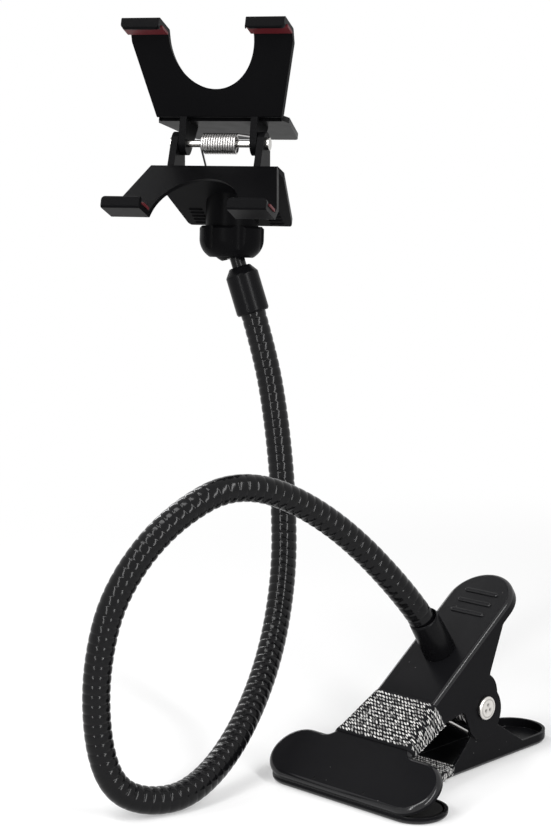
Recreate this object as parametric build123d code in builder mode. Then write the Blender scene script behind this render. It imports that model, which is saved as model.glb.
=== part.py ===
"""Phone holder on a bendable neck.

A sprung clamp of two stamped jaws carries a ribbed neck, and a ball joint on the neck's end
carries a sprung clip with four claws. Millimetres, +Z up. The origin is on the floor under
the clamp's pivot, the pads point to -Y and the handles to +Y. Each jaw is drawn in a plane of
its own: x across it, y along it towards the handle, z from its outer face inwards. The clip is
drawn in a frame of its own: u across it, v from the lower claws to the upper ones, n forwards.
"""
import os
from math import acos, asin, atan2, cos, degrees, hypot, pi, radians, sin, tan

from build123d import *

os.makedirs("parts", exist_ok=True)

# Clearances
running_fit = 0.05      # radial, a pin or shaft in its hole
seat_gap = 0.1          # a spring leg off the face it presses on

# Clamp jaws
sheet = 1.2             # steel thickness
bend_radius = 2.0       # outer edge of the stampings
pivot_height = 26.2     # outer face of a jaw to the pivot
jaw_front = 74.0        # pivot to the pads' front edges
jaw_rear = 50.0         # pivot to the upper handle's end
lower_jaw_rear = 54.0
jaw_half_width = 15.7   # ears and handle of the upper jaw
ear_gap = 0.25          # between the upper jaw's ears and the lower jaw's
pad_length = 85.5
pad_depth = 25.0
pad_rim = 3.0
jaw_gap = 0.3           # between the rims of the closed jaws
neck_front_half_width = 20.6
pad_corner = 4.0        # where a jaw's neck runs into its pad
handle_rim = 5.0
handle_start = 28.5     # pivot to where the ears end at the handle
notch_behind = 10.0     # where an ear's back edge turns to the handle
notch_height = 16.7
ear_corner = 2.5
lower_ear_radius = 10.0
lower_ear_drop = 4.0    # centre of the ear's round end past the pivot
upper_ear_radius = 11.0
upper_ear_drop = 2.0
upper_ear_forward = 1.5 # and towards the pads
upper_flange_front = 4.0
upper_flange_rear = 12.0
upper_shoulder = (-10.4, 17.6)
lower_flange_front = 3.6
lower_flange_rear = 5.0
lower_shoulder = (-7.5, 14.6)

# Grip ribs on the upper handle
rib_count = 3
rib_first = 26.6
rib_pitch = 5.85
rib_length = 17.2
rib_width = 2.0
rib_height = 0.7
rib_round = 0.55

# Rivet and clamp spring
rivet_radius = 3.0
rivet_head_radius = 5.0
rivet_head_height = 1.7
rivet_head_edge = 0.9
clamp_wire = 2.0
clamp_coil_radius = 8.2     # middle of the wire
clamp_turns = 8
clamp_leg_reach = 25.0      # pivot to the legs' ends, along the jaws

# Rubber pads in the jaws
liner = 1.6
liner_margin = 1.0
stud_radius = 0.6
stud_spread = 13.0
stud_forward = 71.0     # pivot to the studs, towards the pads' front
stud_sink = 0.3

# Elastic bands round the jaws' necks
band_width = 23.0
upper_band_rear = 22.0  # pivot to the band, along the jaw
lower_band_rear = 18.0
band_wall = 0.8
band_fit = 0.05

# Base of the neck
ferrule_place = 4.4         # behind the pivot, along the upper jaw
base_radius = 6.9
base_top_radius = 6.4
base_length = 19.0
base_floor = 6.5
ferrule_edge = 1.0          # bevel round a ferrule's open end
screw_radius = 2.0
screw_head_radius = 3.6
screw_head = 2.4
washer_radius = 4.6
washer_wall = 0.8

# Neck: its route after the base, chosen point by point; z of the floor run is the neck's radius
neck_diameter = 11.0
neck_start = 26.0           # straight out of the base, from the jaw's face
bend_share = 0.45           # of a run, taken up by the bend at either end
floor_run = neck_diameter / 2
route_points = [
    (-19, -56, 110),
    (-32, -94, 130),
    (-44, -123, 116),
    (-52, -144, 90),
    (-55.5, -151, 60),
    (-54.5, -151.5, 31),
    (-50, -147.5, 12.5),
    (-43.5, -135.5, floor_run),
    (-38.5, -116.5, floor_run),
    (-44, -87, 17.5),
    (-57, -54, 41),
    (-68, -33, 73),
    (-77, -24, 106),
    (-85, -20, 138),
    (-95, -17, 167),
    (-103.6, -20.5, 195.7),
]
flex_corners = [2, 5, 12, 15]   # corners of the whole route where the neck is free to bend

# Ball joint; distances along the stem start at the ball's centre
ball_radius = 8.5
seat_wall = 1.45
seat_mouth = 42.0           # half angle of the seat's openings
seat_back = 55.0
stem_radius = 3.2
shank_radius = 2.6
shank_length = 7.6
top_start = 12.0            # ball centre to the top ferrule
top_length = 21.0
top_radius = 7.2
top_nose_radius = 4.6
top_nose_length = 3.6
top_neck_depth = 12.8
nut_radius = 14.0
nut_bore = 11.55
nut_top = 6.0               # nut past the ball's centre, towards the clip
nut_bottom = 7.5
nut_lip_radius = 7.9
nut_shoulder = 0.3
nut_lobes = 6
nut_groove_radius = 5.0
nut_groove_depth = 1.2
nut_edge = 1.0              # its corners' chamfers
nut_dome_end = 9.4          # radius of the flat at the dome's end
socket_tilt = 15.0          # socket axis against the clip's v

# Clip
clip_turn = 28.0            # about Z
clip_lean = 20.0            # backwards
ball_behind = 60.0          # claws' middle to the ball, backwards
ball_below = 34.0
opening = 74.6              # between the claw pads
claw_pad = 1.1
claw_wall = 2.4
claw_spread = 26.8          # clip centre to a claw's middle
claw_width = 16.5
claw_front = 8.3
claw_tail = 4.0             # claw's floor behind the clip's middle
lip_height = 2.6            # of the claw's lip over its floor
lip_round = 2.0             # its two corners
arch_centre = 38.0          # round gap between the claws of a frame
edge_round = 1.1
hinge_behind = 31.0         # clip's middle to the hinge pin
knuckle_radius = 5.0
knuckle_wall = 3.0
lower_knuckle = 19.0        # clip centre to a knuckle's middle
knuckle_gap = 0.3
pin_radius = 1.6
pin_head_radius = 2.7
pin_head = 1.2
handle_half_width = 29.0
handle_flare = 2.0          # handle wider than the arms, on each side
handle_taper = 5.5          # handle narrower at its end, on each side
handle_corner = 6.0
handle_round = 4.0          # corners of its end
bend_behind = 26.0          # clip's middle to where the arms turn into the handles
lower_bend_rise = 12.0
lower_handle_behind = 72.0
lower_handle_rise = 23.3
upper_bend_rise = 10.0
upper_handle_behind = 68.0
upper_handle_rise = 15.5
clip_wire = 1.0
clip_coil_radius = 4.0
clip_turns = 13
clip_leg_reach = 26.0
pad_overhang = 0.5


# Frames worked out from the sizes above
pad_rear = pad_depth - jaw_front
pad_centre = pad_rear - pad_depth / 2
past = 5.0
rim_reach = pivot_height - pad_rim
rest_angle = atan2(rim_reach, jaw_front) + asin((rim_reach - jaw_gap) / hypot(jaw_front, rim_reach))
pivot = Vector(0, 0, pivot_height)
upper_normal = Vector(0, -sin(rest_angle), cos(rest_angle))
lower_plane = Plane.XY
upper_plane = Plane(origin=pivot + upper_normal * pivot_height, x_dir=(-1, 0, 0), z_dir=-upper_normal)
lower_half_width = jaw_half_width - sheet - ear_gap
neck_radius = neck_diameter / 2
hinge_n = -hinge_behind
claw_back = -claw_tail
arm_waist = handle_half_width - handle_flare
handle_end_half_width = handle_half_width - handle_taper
lower_bend = (-bend_behind, lower_bend_rise)
lower_handle_end = (-lower_handle_behind, lower_handle_rise)
upper_bend = (-bend_behind, upper_bend_rise)
upper_handle_end = (-upper_handle_behind, upper_handle_rise)


def side_of(plane):
    """Plane through a jaw's middle: x along the jaw, y inwards."""
    return Plane(origin=plane.origin, x_dir=plane.y_dir, z_dir=plane.x_dir)


def axial_plane(origin, axis):
    """Plane to draw a turned profile in: x is the radius, y the distance along the axis."""
    radial = axis.cross(Vector(0, 1, 0)).normalized()
    return Plane(origin=origin, x_dir=radial, z_dir=radial.cross(axis))


def nearest_corner(sketch, point):
    """The corner of a sketch that lies nearest to a point."""
    return sketch.vertices().sort_by_distance(Vector(*point))[0]


def save(part, name):
    """Label a finished piece and write it to its own file."""
    part.label = name
    export_step(part, f"parts/{name}.step")


def neck_half_width(half_width, band_rear, along):
    """Half width of a jaw's tapered neck at a place along the jaw."""
    share = (along - pad_rear) / (-band_rear - pad_rear)
    return neck_front_half_width + (half_width - neck_front_half_width) * share


def make_jaw(plane, half_width, rear, flange_front, flange_rear, shoulder, ear, band_rear, band_recess):
    """One stamped jaw: pad, neck, ears and handle pressed from a single sheet.

    Ear gives the round end of its ears: forward of the pivot, past the pivot, and radius.
    """
    handle_centre = rear - half_width
    band_front = band_rear + band_width
    ear_forward, ear_drop, ear_radius = ear
    ear_centre = pivot_height + ear_drop
    ear_reach = ear_centre + ear_radius
    ear_back = ear_radius - ear_forward
    ear_front = -ear_radius - ear_forward
    with BuildPart() as jaw:
        with BuildSketch(plane) as outline:
            with Locations((0, pad_centre)):
                SlotOverall(pad_length, pad_depth)
            with BuildLine():
                Polyline(
                    (-half_width, handle_centre),
                    (-half_width, -band_rear),
                    (-neck_front_half_width, pad_rear),
                    (-neck_front_half_width, pad_centre),
                    (neck_front_half_width, pad_centre),
                    (neck_front_half_width, pad_rear),
                    (half_width, -band_rear),
                    (half_width, handle_centre),
                )
                ThreePointArc((half_width, handle_centre), (0, rear), (-half_width, handle_centre))
            make_face()
            corners = [nearest_corner(outline, (side * neck_front_half_width, pad_rear)) for side in (-1, 1)]
            fillet(corners, radius=pad_corner)
        extrude(amount=ear_reach)
        outer_face = jaw.faces().sort_by(Axis(plane.origin, plane.z_dir))[0]
        fillet(outer_face.edges(), radius=bend_radius)
        with BuildSketch(plane.offset(sheet)) as hollow:
            add(outline.sketch_local)
            offset(amount=-sheet, mode=Mode.REPLACE)
        extrude(amount=ear_reach, mode=Mode.SUBTRACT)
        with BuildSketch(side_of(plane)) as profile:
            with BuildLine():
                Polyline(
                    (ear_back, ear_centre),
                    (notch_behind, notch_height),
                    (handle_start, handle_rim),
                    (rear + past, handle_rim),
                    (rear + past, -past),
                    (-jaw_front - past, -past),
                    (-jaw_front - past, pad_rim),
                    (-band_front, pad_rim),
                    (-band_front, flange_front),
                    (-band_rear, flange_rear),
                    shoulder,
                    (ear_front, ear_centre),
                )
                ThreePointArc((ear_front, ear_centre), (-ear_forward, ear_reach), (ear_back, ear_centre))
            make_face()
            bends = [(notch_behind, notch_height), (handle_start, handle_rim), shoulder]
            fillet([nearest_corner(profile, bend) for bend in bends], radius=ear_corner)
        extrude(amount=pad_length, both=True, mode=Mode.INTERSECT)
        with BuildSketch(side_of(plane)):
            with Locations((0, pivot_height)):
                Circle(rivet_radius + running_fit)
        extrude(amount=jaw_half_width, both=True, mode=Mode.SUBTRACT)
        with BuildSketch(plane):
            with Locations((-stud_spread, -stud_forward), (stud_spread, -stud_forward)):
                Circle(stud_radius + running_fit)
        extrude(amount=sheet, mode=Mode.SUBTRACT)
        if band_recess:
            strip_middle = -(band_front + band_rear) / 2
            strip_length = band_width + 2 * seat_gap
            with BuildSketch(plane.offset(sheet)):
                add(hollow.sketch_local)
                with Locations((0, strip_middle)):
                    Rectangle(pad_length, strip_length + 2 * sheet, mode=Mode.INTERSECT)
            extrude(amount=band_recess)
            with BuildSketch(plane):
                with Locations((0, strip_middle)):
                    Rectangle(pad_length, strip_length)
            extrude(amount=band_recess, mode=Mode.SUBTRACT)
    return jaw.part


def make_liner(plane):
    """Rubber pad in a jaw's tray, held by two studs through the sheet."""
    with BuildPart() as rubber:
        with BuildSketch(plane.offset(sheet)):
            with Locations((0, pad_centre)):
                SlotOverall(pad_length - 2 * (sheet + liner_margin), pad_depth - 2 * (sheet + liner_margin))
        extrude(amount=liner)
        with BuildSketch(plane.offset(sheet)):
            with Locations((-stud_spread, -stud_forward), (stud_spread, -stud_forward)):
                Circle(stud_radius)
        extrude(amount=stud_sink - sheet)
    return rubber.part


def make_band(plane, half_width, flange_front, flange_rear, band_rear, seat):
    """Elastic sleeve round a jaw's neck; seat is the level of the sheet's outer face under it."""
    ends = [(-band_rear - band_width, flange_front), (-band_rear, flange_rear)]

    def section(along, flange, wall):
        """Plane, width and height of the sleeve's section, grown by a wall."""
        low = seat - band_fit - wall
        high = flange + band_fit + wall
        middle = plane.from_local_coords(Vector(0, along, (low + high) / 2))
        width = 2 * (neck_half_width(half_width, band_rear, along) + band_fit + wall)
        return Plane(origin=middle, x_dir=plane.x_dir, z_dir=plane.y_dir), width, high - low

    with BuildPart() as band:
        for along, flange in ends:
            place, width, height = section(along, flange, band_wall)
            with BuildSketch(place):
                RectangleRounded(width, height, band_wall)
        loft(ruled=True)
        for along, flange in ends:
            place, width, height = section(along, flange, 0)
            with BuildSketch(place):
                Rectangle(width, height)
        loft(ruled=True, mode=Mode.SUBTRACT)
    return band.part


def make_spring(side, centre, coil_radius, wire, turns, first_end, last_end):
    """Torsion spring of one wire: a straight leg, a close coil and a second leg.

    The coil turns about the side plane's normal. The ends are points of that plane, and the legs
    press away from each other there.
    """
    pitch = wire + seat_gap
    slope = pitch / (2 * pi * coil_radius)

    def leg(end, sign):
        """Angle at which a leg meets the coil, and the leg's length."""
        reach_x = end[0] - centre[0]
        reach_y = end[1] - centre[1]
        reach = hypot(reach_x, reach_y)
        return atan2(reach_y, reach_x) + sign * acos(coil_radius / reach), (reach**2 - coil_radius**2) ** 0.5

    first_angle, first_length = leg(first_end, -1)
    last_angle, last_length = leg(last_end, 1)
    half_height = pitch * (turns + (first_angle - last_angle) / (2 * pi) % 1) / 2
    start = side.from_local_coords(Vector(*centre, -half_height))
    towards = side.x_dir * cos(first_angle) + side.y_dir * sin(first_angle)
    coil_place = Plane(origin=start, x_dir=towards, z_dir=side.z_dir).location
    with BuildPart() as spring:
        with BuildLine() as path:
            coil = coil_place * Helix(pitch, 2 * half_height, coil_radius, lefthand=True, mode=Mode.PRIVATE)
            add(coil)
            Line(side.from_local_coords(Vector(*first_end, -half_height - first_length * slope)), coil @ 0)
            Line(coil @ 1, side.from_local_coords(Vector(*last_end, half_height + last_length * slope)))
        wire_path = path.wires()[0]
        with BuildSketch(Plane(origin=wire_path @ 0, z_dir=wire_path % 0)):
            Circle(wire / 2)
        sweep(path=wire_path)
    return spring.part


# Lower jaw: its sheet is pressed in under the band, so that the jaw lies flat
band_recess = band_wall + band_fit
lower_jaw = make_jaw(
    lower_plane,
    lower_half_width,
    lower_jaw_rear,
    lower_flange_front,
    lower_flange_rear,
    lower_shoulder,
    (0, lower_ear_drop, lower_ear_radius),
    lower_band_rear,
    band_recess,
)
save(lower_jaw, "lower_jaw")

# Upper jaw: grip ribs on the handle and a hole for the neck's screw
with BuildPart() as grip_ribs:
    with BuildSketch(upper_plane):
        with Locations(*[(0, rib_first + rib * rib_pitch) for rib in range(rib_count)]):
            SlotOverall(rib_length, rib_width)
    extrude(amount=-rib_height)
    rib_tops = grip_ribs.faces().sort_by(Axis(upper_plane.origin, upper_normal))[-rib_count:]
    fillet([edge for top in rib_tops for edge in top.edges()], radius=rib_round)
with BuildPart() as upper_jaw:
    add(
        make_jaw(
            upper_plane,
            jaw_half_width,
            jaw_rear,
            upper_flange_front,
            upper_flange_rear,
            upper_shoulder,
            (upper_ear_forward, upper_ear_drop, upper_ear_radius),
            upper_band_rear,
            0,
        )
    )
    add(grip_ribs.part)
    with BuildSketch(upper_plane):
        with Locations((0, ferrule_place)):
            Circle(screw_radius + running_fit)
    extrude(amount=sheet, mode=Mode.SUBTRACT)
save(upper_jaw.part, "upper_jaw")

save(make_liner(lower_plane), "lower_jaw_pad")
save(make_liner(upper_plane), "upper_jaw_pad")
save(
    make_band(
        lower_plane, lower_half_width, lower_flange_front, lower_flange_rear, lower_band_rear, band_recess
    ),
    "lower_band",
)
save(
    make_band(upper_plane, jaw_half_width, upper_flange_front, upper_flange_rear, upper_band_rear, 0),
    "upper_band",
)

# Rivet through the four ears
with BuildPart() as pivot_rivet:
    head_start = jaw_half_width + seat_gap
    head_end = head_start + rivet_head_height
    with BuildSketch(Plane(origin=pivot, x_dir=(0, 0, 1), z_dir=(0, 1, 0))):
        with BuildLine():
            Polyline(
                (0, -head_end),
                (0, head_end),
                (rivet_head_radius - rivet_head_edge, head_end),
                (rivet_head_radius, head_end - rivet_head_edge),
                (rivet_head_radius, head_start),
                (rivet_radius, head_start),
                (rivet_radius, -head_start),
                (rivet_head_radius, -head_start),
                (rivet_head_radius, rivet_head_edge - head_end),
                (rivet_head_radius - rivet_head_edge, -head_end),
                close=True,
            )
        make_face()
    revolve(axis=Axis(pivot, (1, 0, 0)))
save(pivot_rivet.part, "pivot_rivet")

# Clamp spring: one leg on each handle's inner face
clamp_side = side_of(lower_plane)
leg_level = sheet + clamp_wire / 2 + seat_gap
upper_leg = clamp_side.to_local_coords(
    upper_plane.from_local_coords(Vector(0, clamp_leg_reach, leg_level))
)
clamp_spring = make_spring(
    clamp_side,
    (0, pivot_height),
    clamp_coil_radius,
    clamp_wire,
    clamp_turns,
    (clamp_leg_reach, leg_level),
    (upper_leg.X, upper_leg.Y),
)
save(clamp_spring, "clamp_spring")

# Base of the neck on the upper jaw
base_foot = upper_plane.from_local_coords(Vector(0, ferrule_place, 0))
base_plane = Plane(origin=base_foot, x_dir=(1, 0, 0), z_dir=upper_normal)
with BuildPart() as base_ferrule:
    with BuildSketch(axial_plane(base_foot, upper_normal)):
        Polygon(
            (0, 0),
            (base_radius, 0),
            (base_top_radius, base_length - ferrule_edge),
            (base_top_radius - ferrule_edge / 2, base_length),
            (0, base_length),
            align=None,
        )
    revolve(axis=Axis(base_foot, upper_normal))
    with BuildSketch(base_plane.offset(base_floor)):
        Circle(neck_radius + running_fit)
    extrude(amount=base_length, mode=Mode.SUBTRACT)
    with BuildSketch(base_plane):
        Circle(screw_radius + running_fit)
    extrude(amount=base_floor, mode=Mode.SUBTRACT)
save(base_ferrule.part, "base_ferrule")

with BuildPart() as base_washer:
    with BuildSketch(base_plane.offset(-sheet)):
        Circle(washer_radius)
        Circle(screw_radius + running_fit, mode=Mode.SUBTRACT)
    extrude(amount=-washer_wall)
save(base_washer.part, "base_washer")

with BuildPart() as base_screw:
    with BuildSketch(base_plane.offset(-sheet - washer_wall)):
        Circle(screw_head_radius)
    extrude(amount=-screw_head)
    with BuildSketch(base_plane.offset(-sheet - washer_wall)):
        Circle(screw_radius)
    extrude(amount=sheet + washer_wall + base_floor - seat_gap)
    with BuildSketch(base_plane.offset(-sheet - washer_wall - screw_head)):
        Rectangle(2 * screw_head_radius, screw_head / 3)
        Rectangle(screw_head / 3, 2 * screw_head_radius)
    extrude(amount=screw_head / 2, mode=Mode.SUBTRACT)
save(base_screw.part, "base_screw")

# Neck: straight runs joined by tangent arcs, cut at the middle of runs
route = [
    base_foot + upper_normal * (base_floor + 2 * seat_gap),
    base_foot + upper_normal * neck_start,
]
route += [Vector(*point) for point in route_points]


def corner_radius(corner):
    """Largest comfortable bend at a corner of the route."""
    before = route[corner] - route[corner - 1]
    after = route[corner + 1] - route[corner]
    half_turn = radians(before.get_angle(after)) / 2
    return bend_share * min(before.length, after.length) / tan(half_turn)


def middle_of_run(corner):
    """Middle of the run that leaves a corner of the route."""
    return (route[corner] + route[corner + 1]) / 2


def make_neck_piece(start, corners, end):
    """Round rod along part of the route, from one point past some corners to another."""
    with BuildPart() as rod:
        with BuildLine() as path:
            radii = [corner_radius(corner) for corner in corners]
            FilletPolyline(start, *[route[corner] for corner in corners], end, radius=radii)
        with BuildSketch(Plane(origin=path.line @ 0, z_dir=path.line % 0)):
            Circle(neck_radius)
        sweep()
    return rod.part


run_start = route[0]
run_corners = list(range(1, flex_corners[0]))
for number, flex in enumerate(flex_corners, start=1):
    flex_start = middle_of_run(flex - 1)
    flex_end = middle_of_run(flex)
    save(make_neck_piece(run_start, run_corners, flex_start), f"neck_run_{number}")
    save(make_neck_piece(flex_start, [flex], flex_end), f"neck_flex_{number}")
    next_flex = (flex_corners + [len(route) - 1])[number]
    run_start = flex_end
    run_corners = list(range(flex + 1, next_flex))
save(make_neck_piece(run_start, run_corners, route[-1]), f"neck_run_{len(flex_corners) + 1}")

# Head: the ball sits in line with the neck's end, and the clip hangs on the ball
stem_axis = (route[-2] - route[-1]).normalized()
stem_end = top_start + top_length - top_neck_depth
ball = route[-1] - stem_axis * (stem_end + seat_gap)
turn = radians(clip_turn)
lean = radians(clip_lean)
across = Vector(cos(turn), sin(turn), 0)
forwards = Vector(sin(turn) * cos(lean), -cos(turn) * cos(lean), sin(lean))
upwards = forwards.cross(across)
clip_centre = ball + upwards * ball_below + forwards * ball_behind
clip_front = Plane(origin=clip_centre, x_dir=across, z_dir=forwards)
clip_side = Plane(origin=clip_centre, x_dir=forwards, z_dir=-across)
clip_top = Plane(origin=clip_centre, x_dir=across, z_dir=upwards)
socket_axis = -upwards * cos(radians(socket_tilt)) - forwards * sin(radians(socket_tilt))

with BuildPart() as top_ferrule:
    top_end = top_start + top_length
    with BuildSketch(axial_plane(ball, stem_axis)):
        Polygon(
            (shank_radius + running_fit, top_start),
            (top_nose_radius, top_start),
            (top_radius, top_start + top_nose_length),
            (top_radius, top_end - ferrule_edge),
            (top_radius - ferrule_edge / 2, top_end),
            (neck_radius + running_fit, top_end),
            (neck_radius + running_fit, stem_end),
            (shank_radius + running_fit, stem_end),
            align=None,
        )
    revolve(axis=Axis(ball, stem_axis))
save(top_ferrule.part, "top_ferrule")

with BuildPart() as ball_stud:
    with BuildSketch(axial_plane(ball, stem_axis)):
        with BuildLine():
            neck_out = (ball_radius**2 - stem_radius**2) ** 0.5
            ThreePointArc((0, -ball_radius), (ball_radius, 0), (stem_radius, neck_out))
            Polyline(
                (stem_radius, neck_out),
                (stem_radius, top_start),
                (shank_radius, top_start),
                (shank_radius, top_start + shank_length),
                (0, top_start + shank_length),
                (0, -ball_radius),
            )
        make_face()
    revolve(axis=Axis(ball, stem_axis))
save(ball_stud.part, "ball_stud")

seat_inner = ball_radius + running_fit
seat_outer = seat_inner + seat_wall
socket_radius = seat_outer + running_fit


def on_circle(radius, angle):
    """Point of a turned profile on a circle about the ball, at an angle from the axis."""
    return (radius * sin(radians(angle)), radius * cos(radians(angle)))


with BuildPart() as ball_seat:
    with BuildSketch(axial_plane(ball, stem_axis)):
        with BuildLine():
            back = 180 - seat_back
            ThreePointArc(on_circle(seat_inner, seat_mouth), (seat_inner, 0), on_circle(seat_inner, back))
            Line(on_circle(seat_inner, back), on_circle(seat_outer, back))
            ThreePointArc(on_circle(seat_outer, back), (seat_outer, 0), on_circle(seat_outer, seat_mouth))
            Line(on_circle(seat_outer, seat_mouth), on_circle(seat_inner, seat_mouth))
        make_face()
    revolve(axis=Axis(ball, stem_axis))
save(ball_seat.part, "ball_seat")

# Lock nut on the socket's axis
with BuildPart() as lock_nut:
    shoulder_angle = degrees(acos(nut_shoulder / socket_radius))
    lip_angle = degrees(asin(nut_lip_radius / socket_radius))
    with BuildSketch(axial_plane(ball, socket_axis)):
        with BuildLine():
            ThreePointArc(
                on_circle(socket_radius, shoulder_angle),
                on_circle(socket_radius, (shoulder_angle + lip_angle) / 2),
                on_circle(socket_radius, lip_angle),
            )
            Polyline(
                on_circle(socket_radius, lip_angle),
                (nut_lip_radius + nut_edge / 2, nut_bottom),
                (nut_dome_end, nut_bottom),
            )
            ThreePointArc(
                (nut_dome_end, nut_bottom),
                (nut_radius - nut_edge, nut_bottom / 2),
                (nut_radius, 0),
            )
            Polyline(
                (nut_radius, 0),
                (nut_radius, nut_edge - nut_top),
                (nut_radius - nut_edge, -nut_top),
                (nut_bore, -nut_top),
                (nut_bore, nut_shoulder),
                on_circle(socket_radius, shoulder_angle),
            )
        make_face()
    revolve(axis=Axis(ball, socket_axis))
    with BuildSketch(Plane(origin=ball - socket_axis * nut_top, x_dir=across, z_dir=socket_axis)):
        with PolarLocations(nut_radius - nut_groove_depth + nut_groove_radius, nut_lobes):
            Circle(nut_groove_radius)
    extrude(amount=nut_top + nut_bottom, mode=Mode.SUBTRACT)
save(lock_nut.part, "lock_nut")


def strip_outline(points, wall):
    """Closed outline of a bent strip of even thickness about a line of points."""
    one_side = []
    other_side = []
    for index, point in enumerate(points):
        here = Vector(*point)
        before = (here - Vector(*points[index - 1])).normalized() if index else None
        after = (Vector(*points[index + 1]) - here).normalized() if index + 1 < len(points) else before
        before = before or after
        half_angle = radians(before.get_angle(after)) / 2
        along = (before + after).normalized()
        normal = Vector(-along.Y, along.X) * (wall / 2 / cos(half_angle))
        one_side.append(here + normal)
        other_side.append(here - normal)
    return one_side + other_side[::-1]


floor_level = opening / 2 + claw_pad + claw_wall / 2
claw_end = claw_spread + claw_width / 2
arch_radius = claw_spread - claw_width / 2


def make_clip_frame(sign, bend, handle_end, knuckle_place):
    """One half of the clip: two claws, their arms, a handle and two hinge knuckles.

    Sign is -1 for the lower frame and 1 for the upper one.
    """
    lip_top = floor_level - claw_wall / 2 - lip_height
    line = [
        (claw_front, sign * lip_top),
        (claw_front, sign * floor_level),
        (claw_back, sign * floor_level),
        (bend[0], sign * bend[1]),
        (handle_end[0], sign * handle_end[1]),
    ]
    reach = floor_level + claw_wall
    with BuildPart() as arms:
        with BuildSketch(clip_side) as strip:
            with BuildLine():
                Polyline(*strip_outline(line[:4], claw_wall), close=True)
            make_face()
            fillet(strip.vertices(), radius=edge_round)
        extrude(amount=claw_end, both=True)
        with BuildSketch(clip_front.offset(bend[0] - claw_wall)):
            with BuildLine():
                Polyline(
                    (-claw_end, sign * reach),
                    (claw_end, sign * reach),
                    (claw_end, sign * lip_top),
                    (arm_waist, sign * (bend[1] - claw_wall)),
                    (-arm_waist, sign * (bend[1] - claw_wall)),
                    (-claw_end, sign * lip_top),
                    close=True,
                )
            make_face()
            with Locations((0, sign * arch_centre)):
                Circle(arch_radius, mode=Mode.SUBTRACT)
            with Locations((0, sign * (arch_centre + reach) / 2)):
                Rectangle(2 * arch_radius, reach - arch_centre, mode=Mode.SUBTRACT)
        extrude(amount=claw_front + claw_wall - bend[0] + claw_wall, mode=Mode.INTERSECT)
        with BuildSketch(clip_front.offset(claw_front - claw_wall)):
            with Locations(*[(side * claw_spread, sign * (lip_top + lip_round / 2)) for side in (-1, 1)]):
                Rectangle(claw_width, lip_round)
            with Locations(*[(side * claw_spread, sign * (lip_top + 2 * lip_round)) for side in (-1, 1)]):
                RectangleRounded(claw_width, 4 * lip_round, lip_round, mode=Mode.SUBTRACT)
        extrude(amount=2 * claw_wall, mode=Mode.SUBTRACT)
    with BuildPart() as handle:
        with BuildSketch(clip_side) as strip:
            with BuildLine():
                Polyline(*strip_outline(line[3:], claw_wall), close=True)
            make_face()
            fillet(strip.vertices(), radius=edge_round)
        extrude(amount=handle_half_width, both=True)
        with BuildSketch(clip_top.offset(-reach)) as plan:
            with BuildLine():
                Polyline(
                    (-arm_waist, claw_wall - bend[0]),
                    (-arm_waist, -bend[0]),
                    (-handle_half_width, -bend[0] + handle_corner),
                    (-handle_end_half_width, -handle_end[0]),
                    (handle_end_half_width, -handle_end[0]),
                    (handle_half_width, -bend[0] + handle_corner),
                    (arm_waist, -bend[0]),
                    (arm_waist, claw_wall - bend[0]),
                    close=True,
                )
            make_face()
            ends = [(side * handle_end_half_width, -handle_end[0]) for side in (-1, 1)]
            fillet([nearest_corner(plan, end) for end in ends], radius=handle_round)
        extrude(amount=2 * reach, mode=Mode.INTERSECT)
    with BuildPart() as frame:
        add(arms.part)
        add(handle.part)
        for side in (-1, 1):
            with BuildSketch(clip_side.offset(side * knuckle_place)):
                with Locations((hinge_n, 0)):
                    Circle(knuckle_radius)
                with Locations((bend[0] + claw_wall / 4, sign * (bend[1] + claw_wall / 4))):
                    Circle(claw_wall / 3)
                slope = (handle_end[1] - bend[1]) / (handle_end[0] - bend[0])
                root = 2 * hinge_n - bend[0] - knuckle_radius
                with Locations((root, sign * (bend[1] + slope * (root - bend[0])))):
                    Circle(claw_wall / 3)
                make_hull()
            extrude(amount=knuckle_wall / 2, both=True)
        with BuildSketch(clip_side):
            with Locations((hinge_n, 0)):
                Circle(pin_radius + running_fit)
        extrude(amount=claw_end, both=True, mode=Mode.SUBTRACT)
    return frame.part


# Lower frame of the clip, with the ball's socket under its handle
socket_stub = nut_bore - running_fit
lower_corner = clip_side.from_local_coords(Vector(lower_bend[0], -lower_bend[1], 0))
lower_end = clip_side.from_local_coords(Vector(lower_handle_end[0], -lower_handle_end[1], 0))
handle_up = across.cross(lower_end - lower_corner)
with BuildPart() as socket:
    with BuildSketch(Plane(origin=ball, x_dir=across, z_dir=-socket_axis)):
        Circle(socket_stub)
    extrude(amount=ball_below)
    split(bisect_by=Plane(origin=lower_corner, x_dir=across, z_dir=handle_up), keep=Keep.BOTTOM)
with BuildPart() as clip_lower_frame:
    add(make_clip_frame(-1, lower_bend, lower_handle_end, lower_knuckle))
    add(socket.part)
    with Locations(Location(ball)):
        Sphere(socket_radius, mode=Mode.SUBTRACT)
save(clip_lower_frame.part, "clip_lower_frame")

upper_knuckle = lower_knuckle - knuckle_wall - knuckle_gap
save(make_clip_frame(1, upper_bend, upper_handle_end, upper_knuckle), "clip_upper_frame")

# Hinge pin and spring of the clip
hinge_plane = Plane(origin=clip_side.from_local_coords(Vector(hinge_n, 0, 0)), x_dir=forwards, z_dir=-across)
pin_half_length = lower_knuckle + knuckle_wall / 2 + seat_gap
with BuildPart() as clip_hinge_pin:
    with BuildSketch(hinge_plane):
        Circle(pin_radius)
    extrude(amount=pin_half_length, both=True)
    for side in (-1, 1):
        with BuildSketch(hinge_plane.offset(side * pin_half_length)):
            Circle(pin_head_radius)
        extrude(amount=side * pin_head)
save(clip_hinge_pin.part, "clip_hinge_pin")


def handle_level(bend, handle_end, place):
    """Height of a handle's middle at a place behind the claws."""
    slope = (handle_end[1] - bend[1]) / (handle_end[0] - bend[0])
    return bend[1] + slope * (place - bend[0])


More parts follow.
